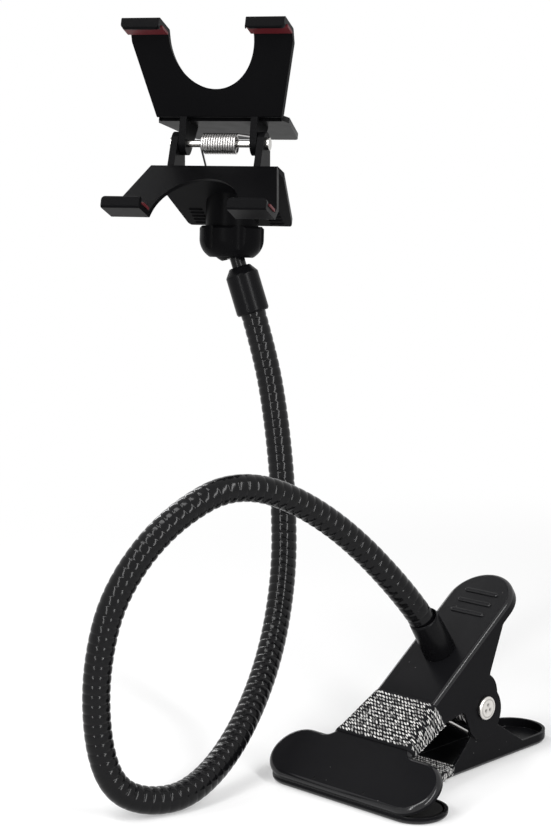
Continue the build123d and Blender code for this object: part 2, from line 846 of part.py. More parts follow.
leg_place = hinge_n - clip_leg_reach
leg_clear = claw_wall / 2 + clip_wire + seat_gap
clip_spring = make_spring(
    clip_side,
    (hinge_n, 0),
    clip_coil_radius,
    clip_wire,
    clip_turns,
    (leg_place, handle_level(upper_bend, upper_handle_end, leg_place) - leg_clear),
    (leg_place, leg_clear - handle_level(lower_bend, lower_handle_end, leg_place)),
)
save(clip_spring, "clip_spring")

# Rubber pads on the claws' floors
pad_front = claw_front - claw_wall / 2 - edge_round
pad_back = claw_back + claw_wall / 2 + edge_round
for level, row in ((-1, "lower"), (1, "upper")):
    for side, hand in ((-1, "left"), (1, "right")):
        with BuildPart() as claw_rubber:
            with BuildSketch(clip_side.offset(-side * claw_spread)) as pad_section:
                with Locations(((pad_front + pad_back) / 2, level * (opening + claw_pad) / 2)):
                    Rectangle(pad_front - pad_back, claw_pad)
                inner_corners = pad_section.vertices().sort_by(Axis.Y)
                fillet(inner_corners[2:] if level < 0 else inner_corners[:2], radius=claw_pad / 2)
            extrude(amount=claw_width / 2 + pad_overhang, both=True)
        save(claw_rubber.part, f"claw_pad_{row}_{hand}")
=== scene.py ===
"""Phone holder on a bendable neck: meshes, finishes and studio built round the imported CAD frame."""

import logging
import math
from dataclasses import dataclass
from enum import Enum
from itertools import accumulate

import bmesh
import bpy
from mathutils import Matrix, Vector
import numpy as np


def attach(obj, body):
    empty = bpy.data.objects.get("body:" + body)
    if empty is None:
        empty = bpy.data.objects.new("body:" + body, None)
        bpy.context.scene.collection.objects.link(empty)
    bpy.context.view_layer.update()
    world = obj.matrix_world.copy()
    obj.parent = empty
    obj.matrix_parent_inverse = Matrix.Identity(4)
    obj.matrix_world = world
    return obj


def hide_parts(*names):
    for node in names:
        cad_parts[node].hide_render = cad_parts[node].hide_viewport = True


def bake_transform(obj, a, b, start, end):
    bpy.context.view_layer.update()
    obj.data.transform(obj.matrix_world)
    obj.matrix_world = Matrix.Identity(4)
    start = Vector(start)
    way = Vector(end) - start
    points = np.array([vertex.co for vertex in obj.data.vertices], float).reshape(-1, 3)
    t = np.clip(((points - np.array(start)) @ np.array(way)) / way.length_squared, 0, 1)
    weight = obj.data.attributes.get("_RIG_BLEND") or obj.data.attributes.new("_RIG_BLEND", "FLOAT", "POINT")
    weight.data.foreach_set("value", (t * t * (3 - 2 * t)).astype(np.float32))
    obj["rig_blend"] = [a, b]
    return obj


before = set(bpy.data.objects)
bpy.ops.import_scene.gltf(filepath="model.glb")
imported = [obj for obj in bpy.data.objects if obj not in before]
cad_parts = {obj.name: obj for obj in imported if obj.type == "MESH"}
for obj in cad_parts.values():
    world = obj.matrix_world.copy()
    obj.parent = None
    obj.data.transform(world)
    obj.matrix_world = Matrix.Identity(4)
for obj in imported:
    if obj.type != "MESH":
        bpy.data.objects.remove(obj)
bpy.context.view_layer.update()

LOG = logging.getLogger("holder")
MM = 0.001
SHADE = "shade"
RECESS = "recess"
FOLD = "fold"
FOLD_COSINES = (0.12, 0.985)
WELD_REACH = 0.002 * MM
FLAT_ANGLE = math.radians(0.3)
SHARP_ANGLE = math.radians(32.0)
ROUNDING_FACES = 2
SPRING_LEG_SHARE = 0.2
NUMBER = "NodeSocketFloat"
WHOLE = "NodeSocketInt"
DIRECTION = "NodeSocketVector"
GEOMETRY = "NodeSocketGeometry"
VECTORS = "FLOAT_VECTOR"
WHITE = (1.0, 1.0, 1.0, 1.0)


class Slot(Enum):
    """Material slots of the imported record."""

    JAW_PAINT = "jaw_paint"
    RIVET_STEEL = "rivet_steel"
    SPRING_STEEL = "spring_steel"
    PIN_STEEL = "pin_steel"
    JAW_RUBBER = "jaw_rubber"
    BAND_WEAVE = "band_weave"
    NECK_SLEEVE = "neck_sleeve"
    FERRULE_BLACK = "ferrule_black"
    BALL_BLACK = "ball_black"
    CLIP_BLACK = "clip_black"
    CLAW_RUBBER = "claw_rubber"


@dataclass(frozen=True)
class Finish:
    """Look of one painted, moulded, woven or metal surface.

    Args:
        slot: Slot of the record that the finish belongs to.
        colour: Base colour, linear RGB.
        roughness: Middle roughness.
        specular: Specular level of the shader.
        grain_scale: Fineness of the surface grain, in waves per metre.
        grain_depth: Depth of the grain, in metres.
        metallic: 1 for bare metal, 0 otherwise.
        mottle: How far the roughness wanders from its middle.
        dust: Share of pale specks on the surface.
        recess_shade: How far punched recesses are darkened with painted shade.
        fold_gloss: Weight of the clear coat on folds.
    """

    slot: Slot
    colour: tuple[float, float, float]
    roughness: float
    specular: float
    grain_scale: float
    grain_depth: float
    metallic: float = 0.0
    mottle: float = 0.1
    dust: float = 0.0
    # Painted shade: how dark punched recesses are made.
    recess_shade: float = 0.0
    fold_gloss: float = 0.0


@dataclass(frozen=True)
class YarnFinish:
    """Look of the stitches: cotton from dark grey to white.

    Args:
        tones: Grey level of the yarn at each share of the stitches.
        tint: Share of that level in each of red, green and blue.
        roughness: Middle roughness of the yarn.
        specular: Specular level of the shader.
        sheen: Weight of its soft sheen.
        grain_scale: Fineness of its fibres, in waves per metre.
        grain_depth: Depth of its fibres, in metres.
        mottle: How far the roughness wanders from its middle.
    """

    tones: tuple[tuple[float, float], ...] = ((0.0, 0.1), (0.25, 0.32), (0.6, 0.52), (1.0, 0.72))
    tint: tuple[float, float, float] = (1.0, 0.99, 0.97)
    roughness: float = 0.8
    specular: float = 0.2
    sheen: float = 0.15
    grain_scale: float = 6000.0
    grain_depth: float = 0.00004
    mottle: float = 0.1


FINISHES = (
    Finish(
        Slot.JAW_PAINT, (0.0048, 0.0048, 0.0056), roughness=0.3, specular=0.028,
        grain_scale=800.0, grain_depth=8e-6, dust=0.05, fold_gloss=0.6,
    ),
    Finish(
        Slot.RIVET_STEEL, (0.66, 0.64, 0.61), roughness=0.27, metallic=1.0,
        specular=0.5, grain_scale=2600.0, grain_depth=8e-6, mottle=0.2, recess_shade=0.9,
    ),
    Finish(
        Slot.SPRING_STEEL, (0.5, 0.49, 0.48), roughness=0.3, metallic=1.0,
        specular=0.5, grain_scale=2200.0, grain_depth=6e-6, mottle=0.14,
    ),
    Finish(
        Slot.PIN_STEEL, (0.5, 0.49, 0.47), roughness=0.3, metallic=1.0,
        specular=0.5, grain_scale=2200.0, grain_depth=5e-6, mottle=0.12,
    ),
    Finish(
        Slot.JAW_RUBBER, (0.007, 0.007, 0.007), roughness=0.7, specular=0.1,
        grain_scale=2400.0, grain_depth=2e-5, mottle=0.12, dust=0.06,
    ),
    Finish(
        Slot.BAND_WEAVE, (0.006, 0.006, 0.007), roughness=0.85, specular=0.1,
        grain_scale=3500.0, grain_depth=5e-5,
    ),
    Finish(
        Slot.NECK_SLEEVE, (0.003, 0.003, 0.0034), roughness=0.15, specular=0.16,
        grain_scale=1800.0, grain_depth=2e-6, mottle=0.08, dust=0.02,
    ),
    Finish(
        Slot.FERRULE_BLACK, (0.0035, 0.0035, 0.004), roughness=0.26, specular=0.07,
        grain_scale=1700.0, grain_depth=5e-6, dust=0.02,
    ),
    Finish(
        Slot.BALL_BLACK, (0.004, 0.004, 0.0045), roughness=0.2, specular=0.14,
        grain_scale=1700.0, grain_depth=4e-6, mottle=0.08,
    ),
    Finish(
        Slot.CLIP_BLACK, (0.0028, 0.0028, 0.0032), roughness=0.34, specular=0.02,
        grain_scale=3000.0, grain_depth=1e-5, dust=0.02,
    ),
    Finish(
        Slot.CLAW_RUBBER, (0.075, 0.006, 0.009), roughness=0.5, specular=0.2,
        grain_scale=2600.0, grain_depth=1.5e-5, mottle=0.12, dust=0.03,
    ),
)
YARN = YarnFinish()


class NodeBench:
    """Adds nodes and links to one shader or geometry tree."""

    def __init__(self, tree: bpy.types.NodeTree) -> None:
        """Take a tree to work on."""
        self.tree = tree

    @staticmethod
    def group(name: str, kind: str, inputs: dict[str, str], outputs: dict[str, str]) -> "NodeBench":
        """Start a node group with named sockets.

        Args:
            name: Name of the group.
            kind: Blender's name of the tree type.
            inputs: Socket type of each input, by name.
            outputs: Socket type of each output, by name.

        Returns:
            A bench with the group's two end nodes in place.
        """
        tree = bpy.data.node_groups.new(name, kind)
        for way, sockets in (("INPUT", inputs), ("OUTPUT", outputs)):
            for label, socket_type in sockets.items():
                tree.interface.new_socket(name=label, in_out=way, socket_type=socket_type)
        tree.nodes.new("NodeGroupInput")
        tree.nodes.new("NodeGroupOutput")
        return NodeBench(tree)

    @staticmethod
    def geometry(name: str, inputs: dict[str, str]) -> "NodeBench":
        """Start a geometry tree that also takes a geometry and a material.

        Args:
            name: Name of the tree.
            inputs: Socket type of each of its own inputs, by name.

        Returns:
            A bench for the tree.
        """
        sockets = {"Geometry": GEOMETRY, **inputs, "Material": "NodeSocketMaterial"}
        return NodeBench.group(name, "GeometryNodeTree", sockets, {"Geometry": GEOMETRY})

    @staticmethod
    def material(name: str) -> tuple[bpy.types.Material, "NodeBench"]:
        """Start a material with nodes.

        Args:
            name: Name of the material.

        Returns:
            The material, and a bench for its tree.
        """
        material = bpy.data.materials.new(name)
        material.use_nodes = True
        return material, NodeBench(material.node_tree)

    def given(self, name: str) -> bpy.types.NodeSocket:
        """Input of the group, as a socket to link from."""
        return self.tree.nodes["Group Input"].outputs[name]

    def give(self, name: str, value: bpy.types.NodeSocket) -> None:
        """Link a value to an output of the group."""
        self.tree.links.new(value, self.tree.nodes["Group Output"].inputs[name])

    def add(self, kind: str, **settings: object) -> bpy.types.Node:
        """Add a node and set its own options.

        Args:
            kind: Blender's name of the node.
            settings: Options of the node, by name.

        Returns:
            The node.
        """
        node = self.tree.nodes.new(kind)
        for name, value in settings.items():
            setattr(node, name, value)
        return node

    def feed(self, node: bpy.types.Node, **values: object) -> bpy.types.Node:
        """Link sockets to a node's inputs, or set numbers on them.

        Args:
            node: Node to feed.
            values: Socket or number for each input, its spaces written as underscores.

        Returns:
            The same node.
        """
        for name, value in values.items():
            label = name.replace("_", " ")
            socket = next(item for item in node.inputs if item.name == label and item.enabled)
            self._put(value, socket)
        return node

    def _put(self, value: object, socket: bpy.types.NodeSocket) -> None:
        """Link a socket to another, or set a number on it.

        Args:
            value: Socket or number.
            socket: Input that gets it.
        """
        if isinstance(value, bpy.types.NodeSocket):
            self.tree.links.new(value, socket)
        else:
            socket.default_value = value

    @staticmethod
    def out(node: bpy.types.Node, name: str = "") -> bpy.types.NodeSocket:
        """Output of a node that is in use, by name or the first one."""
        return next(item for item in node.outputs if item.enabled and name in ("", item.name))

    def maths(self, operation: str, first: object, second: object = 0.0) -> bpy.types.NodeSocket:
        """Add a math node.

        Args:
            operation: Blender's name of the operation.
            first: Socket or number for the first input.
            second: Socket or number for the second input.

        Returns:
            The node's output.
        """
        node = self.add("ShaderNodeMath", operation=operation)
        self._put(first, node.inputs[0])
        self._put(second, node.inputs[1])
        return node.outputs[0]

    def vectors(self, operation: str, first: object, second: object = None) -> bpy.types.NodeSocket:
        """Add a vector math node.

        Args:
            operation: Blender's name of the operation.
            first: Socket or vector for the first input.
            second: Socket, vector or number for the second input, if it has one.

        Returns:
            The node's output.
        """
        node = self.add("ShaderNodeVectorMath", operation=operation)
        self._put(first, node.inputs[0])
        if second is not None:
            self._put(second, node.inputs["Scale" if operation == "SCALE" else 1])
        return self.out(node)

    def mix(self, share: object, first: object, second: object) -> bpy.types.NodeSocket:
        """Add a colour mix.

        Args:
            share: Socket or number of the second colour's share.
            first: Socket or RGBA of the first colour.
            second: Socket or RGBA of the second colour.

        Returns:
            The mixed colour.
        """
        node = self.add("ShaderNodeMix", data_type="RGBA")
        self._put(share, node.inputs[0])
        colours = [socket for socket in node.inputs if socket.type == "RGBA"]
        self._put(first, colours[0])
        self._put(second, colours[1])
        return next(socket for socket in node.outputs if socket.type == "RGBA")

    def store(
        self, geometry: bpy.types.NodeSocket, name: str, kind: str, value: object, domain: str = "POINT"
    ) -> bpy.types.NodeSocket:
        """Store a named attribute.

        Args:
            geometry: Geometry to store it on.
            name: Name of the attribute.
            kind: Blender's name of its data type.
            value: Socket of its value.
            domain: Blender's name of the elements that hold it.

        Returns:
            The geometry with the attribute.
        """
        node = self.add("GeometryNodeStoreNamedAttribute", data_type=kind, domain=domain)
        self.feed(node, Geometry=geometry, Name=name, Value=value)
        return node.outputs["Geometry"]

    def named(self, name: str, kind: str) -> bpy.types.NodeSocket:
        """Read a named attribute of a data type."""
        node = self.feed(self.add("GeometryNodeInputNamedAttribute", data_type=kind), Name=name)
        return self.out(node, "Attribute")

    def smooth(self, geometry: bpy.types.NodeSocket) -> bpy.types.NodeSocket:
        """Shade a geometry smooth."""
        return self.feed(self.add("GeometryNodeSetShadeSmooth"), Geometry=geometry).outputs["Geometry"]

    def finish_geometry(self, geometry: bpy.types.NodeSocket) -> None:
        """Make instances real, set the material and hand the geometry out.

        Args:
            geometry: Geometry to finish.
        """
        whole = self.feed(self.add("GeometryNodeRealizeInstances"), Geometry=geometry)
        dress = self.add("GeometryNodeSetMaterial")
        self.feed(dress, Geometry=whole.outputs["Geometry"], Material=self.given("Material"))
        self.give("Geometry", dress.outputs["Geometry"])


class ShaderGroups:
    """Node groups that several finishes share."""

    grain_detail = 3.0
    mottle_scale = 140.0
    mottle_detail = 4.0
    mottle_middle = 0.5
    speck_scale = 420.0
    speck_reach = 0.07
    speck_strength = 0.5
    veil_scale = 55.0
    veil_detail = 5.0
    veil_strength = 0.12

    def __init__(self) -> None:
        """Build every group once."""
        self.grain = self._grain()
        self.specks = self._specks()

    @staticmethod
    def _noise(bench: NodeBench, scale: object, detail: float) -> bpy.types.NodeSocket:
        """Noise over the piece's own coordinates.

        Args:
            bench: Bench of the tree.
            scale: Socket or number of its waves per metre.
            detail: Number of finer waves on it.

        Returns:
            The noise, from 0 to 1.
        """
        place = bench.add("ShaderNodeTexCoord")
        noise = bench.add("ShaderNodeTexNoise")
        bench.feed(noise, Vector=place.outputs["Object"], Scale=scale, Detail=detail)
        return noise.outputs["Fac"]

    def _grain(self) -> bpy.types.ShaderNodeTree:
        """Build fine surface grain with a roughness that wanders slowly.

        Returns:
            The group.
        """
        bench = NodeBench.group(
            "surface_grain",
            "ShaderNodeTree",
            dict.fromkeys(("Scale", "Depth", "Roughness", "Mottle"), NUMBER),
            {"Roughness": NUMBER, "Normal": DIRECTION},
        )
        bump = bench.add("ShaderNodeBump")
        fine = self._noise(bench, bench.given("Scale"), self.grain_detail)
        bench.feed(bump, Height=fine, Distance=bench.given("Depth"))
        bench.give("Normal", bump.outputs["Normal"])
        slow = self._noise(bench, self.mottle_scale, self.mottle_detail)
        wander = bench.maths("SUBTRACT", slow, self.mottle_middle)
        wander = bench.maths("MULTIPLY", wander, bench.given("Mottle"))
        bench.give("Roughness", bench.maths("ADD", wander, bench.given("Roughness")))
        return bench.tree

    def _specks(self) -> bpy.types.ShaderNodeTree:
        """Build sparse pale specks and a faint film, as a mask.

        Returns:
            The group.
        """
        bench = NodeBench.group("fine_specks", "ShaderNodeTree", {"Amount": NUMBER}, {"Mask": NUMBER})
        place = bench.add("ShaderNodeTexCoord")
        cells = bench.add("ShaderNodeTexVoronoi")
        bench.feed(cells, Vector=place.outputs["Object"], Scale=self.speck_scale)
        near = bench.maths("LESS_THAN", cells.outputs["Distance"], self.speck_reach)
        chance = bench.feed(bench.add("ShaderNodeSeparateColor"), Color=cells.outputs["Color"])
        few = bench.maths("LESS_THAN", chance.outputs["Red"], bench.given("Amount"))
        speck = bench.maths("MULTIPLY", bench.maths("MULTIPLY", near, few), self.speck_strength)
        film = self._noise(bench, self.veil_scale, self.veil_detail)
        veil = bench.maths("MULTIPLY", film, bench.given("Amount"))
        veil = bench.maths("MULTIPLY", veil, self.veil_strength)
        bench.give("Mask", bench.maths("MAXIMUM", speck, veil))
        return bench.tree


class Paintshop:
    """Makes one material for each slot, and one for the yarn of the stitches."""

    dust_colour = (0.3, 0.29, 0.28, 1.0)
    # Near-black colour of the painted shade in punched recesses.
    painted_shade_colour = (0.02, 0.019, 0.018, 1.0)
    fold_roughness = 0.13

    def __init__(self) -> None:
        """Build the shared groups and every finish."""
        self.groups = ShaderGroups()
        self.materials = {finish.slot: self._plain(finish) for finish in FINISHES}
        self.yarn = self._yarn(YARN)

    def _started(
        self, name: str, finish: Finish | YarnFinish
    ) -> tuple[bpy.types.Material, NodeBench, bpy.types.Node]:
        """Start a material whose roughness and normal come from the grain group.

        Args:
            name: Name of the material.
            finish: Numbers of the look.

        Returns:
            The material, a bench for its tree and its shader.
        """
        material, bench = NodeBench.material(name)
        shader = bench.tree.nodes["Principled BSDF"]
        shader.inputs["Specular IOR Level"].default_value = finish.specular
        grain = bench.add("ShaderNodeGroup", node_tree=self.groups.grain)
        bench.feed(grain, Scale=finish.grain_scale, Depth=finish.grain_depth)
        bench.feed(grain, Roughness=finish.roughness, Mottle=finish.mottle)
        bench.feed(shader, Roughness=grain.outputs["Roughness"], Normal=grain.outputs["Normal"])
        return material, bench, shader

    def _plain(self, finish: Finish) -> bpy.types.Material:
        """Paint, plastic, rubber, cloth or metal.

        Args:
            finish: Numbers of the look.

        Returns:
            The material.
        """
        material, bench, shader = self._started(finish.slot.value, finish)
        shader.inputs["Metallic"].default_value = finish.metallic
        colour: object = (*finish.colour, 1.0)
        if finish.dust:
            specks = bench.add("ShaderNodeGroup", node_tree=self.groups.specks)
            bench.feed(specks, Amount=finish.dust)
            colour = bench.mix(specks.outputs["Mask"], colour, self.dust_colour)
        # Painted shade: the recess attribute darkens punched recesses towards a near-black colour.
        if finish.recess_shade:
            punched = bench.add("ShaderNodeAttribute", attribute_name=RECESS)
            share = bench.maths("MULTIPLY", punched.outputs["Fac"], finish.recess_shade)
            colour = bench.mix(share, colour, self.painted_shade_colour)
        if finish.fold_gloss:
            fold = bench.add("ShaderNodeAttribute", attribute_name=FOLD)
            gloss = bench.maths("MULTIPLY", fold.outputs["Fac"], finish.fold_gloss)
            bench.feed(shader, Coat_Weight=gloss, Coat_Roughness=self.fold_roughness)
        bench.feed(shader, Base_Color=colour)
        return material

    def _yarn(self, finish: YarnFinish) -> bpy.types.Material:
        """Cotton stitches, each in a grey of its own.

        Args:
            finish: Numbers of the look.

        Returns:
            The material.
        """
        material, bench, shader = self._started("stitch_yarn", finish)
        shader.inputs["Sheen Weight"].default_value = finish.sheen
        shade = bench.add("ShaderNodeAttribute", attribute_name=SHADE)
        ramp = bench.add("ShaderNodeValToRGB")
        stops = ramp.color_ramp.elements
        stops[0].position = finish.tones[0][0]
        stops[-1].position = finish.tones[-1][0]
        for place, _ in finish.tones[1:-1]:
            stops.new(place)
        for stop, (_, grey) in zip(stops, finish.tones):
            stop.color = (*(grey * share for share in finish.tint), 1.0)
        bench.feed(ramp, Fac=shade.outputs["Fac"])
        bench.feed(shader, Base_Color=ramp.outputs["Color"])
        return material

    def coat(self, obj: bpy.types.Object, slot: Slot) -> None:
        """Give an object one material and drop what it had.

        Args:
            obj: Object to dress.
            slot: Slot whose finish it gets.
        """
        obj.data.materials.clear()
        obj.data.materials.append(self.materials[slot])


def new_object(name: str, data: bpy.types.ID) -> bpy.types.Object:
    """Link a mesh, curve, lamp or camera into the scene as an object at the origin.

    Args:
        name: Name of the object.
        data: Its data.

    Returns:
        The object.
    """
    obj = bpy.data.objects.new(name, data)
    bpy.context.scene.collection.objects.link(obj)
    return obj


def poured(shape: bmesh.types.BMesh, name: str) -> bpy.types.Object:
    """Turn a mesh that was worked on into an object.

    Args:
        shape: The mesh; it is freed.
        name: Name of the object.

    Returns:
        The object.
    """
    mesh = bpy.data.meshes.new(name)
    shape.to_mesh(mesh)
    shape.free()
    return new_object(name, mesh)


def curve_line(name: str, kind: str, spots: list[Vector]) -> bpy.types.Object:
    """Make a curve of one spline.

    Args:
        name: Name of the object.
        kind: Blender's name of the spline's type.
        spots: Control points of the spline, in metres.

    Returns:
        The object.
    """
    curve = bpy.data.curves.new(name, "CURVE")
    curve.dimensions = "3D"
    spline = curve.splines.new(kind)
    spline.points.add(len(spots) - 1)
    for control, spot in zip(spline.points, spots):
        control.co = (*spot, 1.0)
    return new_object(name, curve)


def reaches(points: list[Vector]) -> list[float]:
    """Distance along a line of points up to each of them."""
    steps = ((after - before).length for before, after in zip(points, points[1:]))
    return list(accumulate(steps, initial=0.0))


def plain_mesh(obj: bpy.types.Object, name: str) -> bpy.types.Mesh:
    """Mesh of an object with its modifiers applied.

    Args:
        obj: Object to evaluate.
        name: Name of the mesh.

    Returns:
        The mesh.
    """
    bpy.context.view_layer.update()
    graph = bpy.context.evaluated_depsgraph_get()
    mesh = bpy.data.meshes.new_from_object(obj.evaluated_get(graph))
    mesh.name = name
    return mesh


def grown(
    source: bpy.types.Object, bench: NodeBench, values: dict[str, object], name: str
) -> bpy.types.Object:
    """Run a geometry tree on an object and keep the result as a plain mesh.

    Args:
        source: Object that the tree starts from; it is removed.
        bench: Bench of the tree.
        values: Value of each input of the tree, by name.
        name: Name of the new piece.

    Returns:
        The new piece.
    """
    sockets = [item for item in bench.tree.interface.items_tree if item.in_out == "INPUT"]
    identifiers = {item.name: item.identifier for item in sockets}
    modifier = source.modifiers.new(name, "NODES")
    modifier.node_group = bench.tree
    for label, value in values.items():
        modifier[identifiers[label]] = value
    mesh = plain_mesh(source, name)
    bpy.data.objects.remove(source)
    return new_object(name, mesh)


def mark_folds(mesh: bpy.types.Mesh, outward: Vector) -> None:
    """Store 1 on each face that lies on a fold between a flat face and its walls, and 0 elsewhere.

    Args:
        mesh: Mesh to mark.
        outward: Normal of the flat face.
    """
    least, most = FOLD_COSINES
    shares = [float(least < abs(face.normal.dot(outward)) < most) for face in mesh.polygons]
    mesh.attributes.new(FOLD, "FLOAT", "FACE").data.foreach_set("value", shares)


def softened(node: str, name: str, width: float) -> bpy.types.Object:
    """Copy a CAD node and round its sharp edges.

    Args:
        node: Name of the CAD node.
        name: Name of the new piece.
        width: Width of the rounding, in metres.

    Returns:
        The new piece, a plain mesh at the origin.
    """
    shape = bmesh.new()
    shape.from_mesh(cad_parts[node].data)
    bmesh.ops.remove_doubles(shape, verts=shape.verts, dist=WELD_REACH)
    bmesh.ops.dissolve_limit(shape, angle_limit=FLAT_ANGLE, verts=shape.verts, edges=shape.edges)
    obj = poured(shape, name)
    attributes = obj.data.attributes
    if "custom_normal" in attributes:
        attributes.remove(attributes["custom_normal"])
    obj.data.shade_smooth()
    bevel = obj.modifiers.new("rounding", "BEVEL")
    bevel.width = width
    bevel.segments = ROUNDING_FACES
    bevel.limit_method = "ANGLE"
    bevel.angle_limit = SHARP_ANGLE
    bevel.miter_outer = "MITER_ARC"
    normals = obj.modifiers.new("normals", "WEIGHTED_NORMAL")
    normals.keep_sharp = True
    obj.data = plain_mesh(obj, name)
    obj.modifiers.clear()
    return obj


@dataclass
class Assembly:
    """Sub-assembly that dresses its pieces and ties them to the frame."""

    shop: Paintshop

    def keep(self, obj: bpy.types.Object, slot: Slot, body: str, *nodes: str) -> None:
        """Tie a piece to its body, give it its slot's finish if it has none, and hide the nodes that it
        stands for.

        Args:
            obj: The piece, already dressed or left to its slot's finish.
            slot: Slot of the piece.
            body: Body that it rides on.
            nodes: CAD nodes that it replaces.
        """
        if not obj.data.materials:
            self.shop.coat(obj, slot)
        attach(obj, body)
        if nodes:
            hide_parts(*nodes)
        LOG.info("%s rides on %s", obj.name, body)

    def cross(
        self,
        obj: bpy.types.Object,
        slot: Slot,
        bodies: tuple[str, str],
        ends: tuple[Vector, Vector],
        *nodes: str,
    ) -> None:
        """Bend a piece between two bodies, and hide the nodes that it stands for.

        Args:
            obj: The piece, already dressed.
            slot: Slot of the piece; not used.
            bodies: Bodies that its start and its end follow.
            ends: Points between which it turns from one body to the other.
            nodes: CAD nodes that it replaces.
        """
        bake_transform(obj, *bodies, start=tuple(ends[0]), end=tuple(ends[1]))
        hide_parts(*nodes)
        LOG.info("%s bends between %s and %s", obj.name, *bodies)

    def dress(self, choice: dict[str, Slot]) -> None:
        """Give CAD nodes whose shape is right their finish.

        Args:
            choice: Slot of each node, by the node's name.
        """
        for node, slot in choice.items():
            self.shop.coat(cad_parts[node], slot)
            LOG.info("%s keeps its CAD shape", node)

    def wind(self, node: str, bodies: tuple[str, str], across: Vector) -> None:
        """Put a torsion spring that winds up between two bodies in place of its rigid node.

        Args:
            node: CAD node of the spring.
            bodies: Bodies that the legs at the coil's start and end press on.
            across: Direction of the coil's axis, from its start to its end.
        """
        spring = new_object(f"{node}_wound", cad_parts[node].data.copy())
        self.shop.coat(spring, Slot.SPRING_STEEL)
        places = [corner.co.dot(across) for corner in spring.data.vertices]
        leg_room = (max(places) - min(places)) * SPRING_LEG_SHARE
        ends = (across * (min(places) + leg_room), across * (max(places) - leg_room))
        self.cross(spring, Slot.SPRING_STEEL, bodies, ends, node)


@dataclass(frozen=True)
class JawFrame:
    """Place of a jaw: x across it, y along it to the handle, z from its outer face inwards."""

    origin: Vector
    across: Vector
    along: Vector
    inward: Vector

    def at(self, x: float, y: float, z: float) -> Vector:
        """Point of the jaw's frame, in metres, in the shared frame."""
        return self.origin + self.across * x + self.along * y + self.inward * z


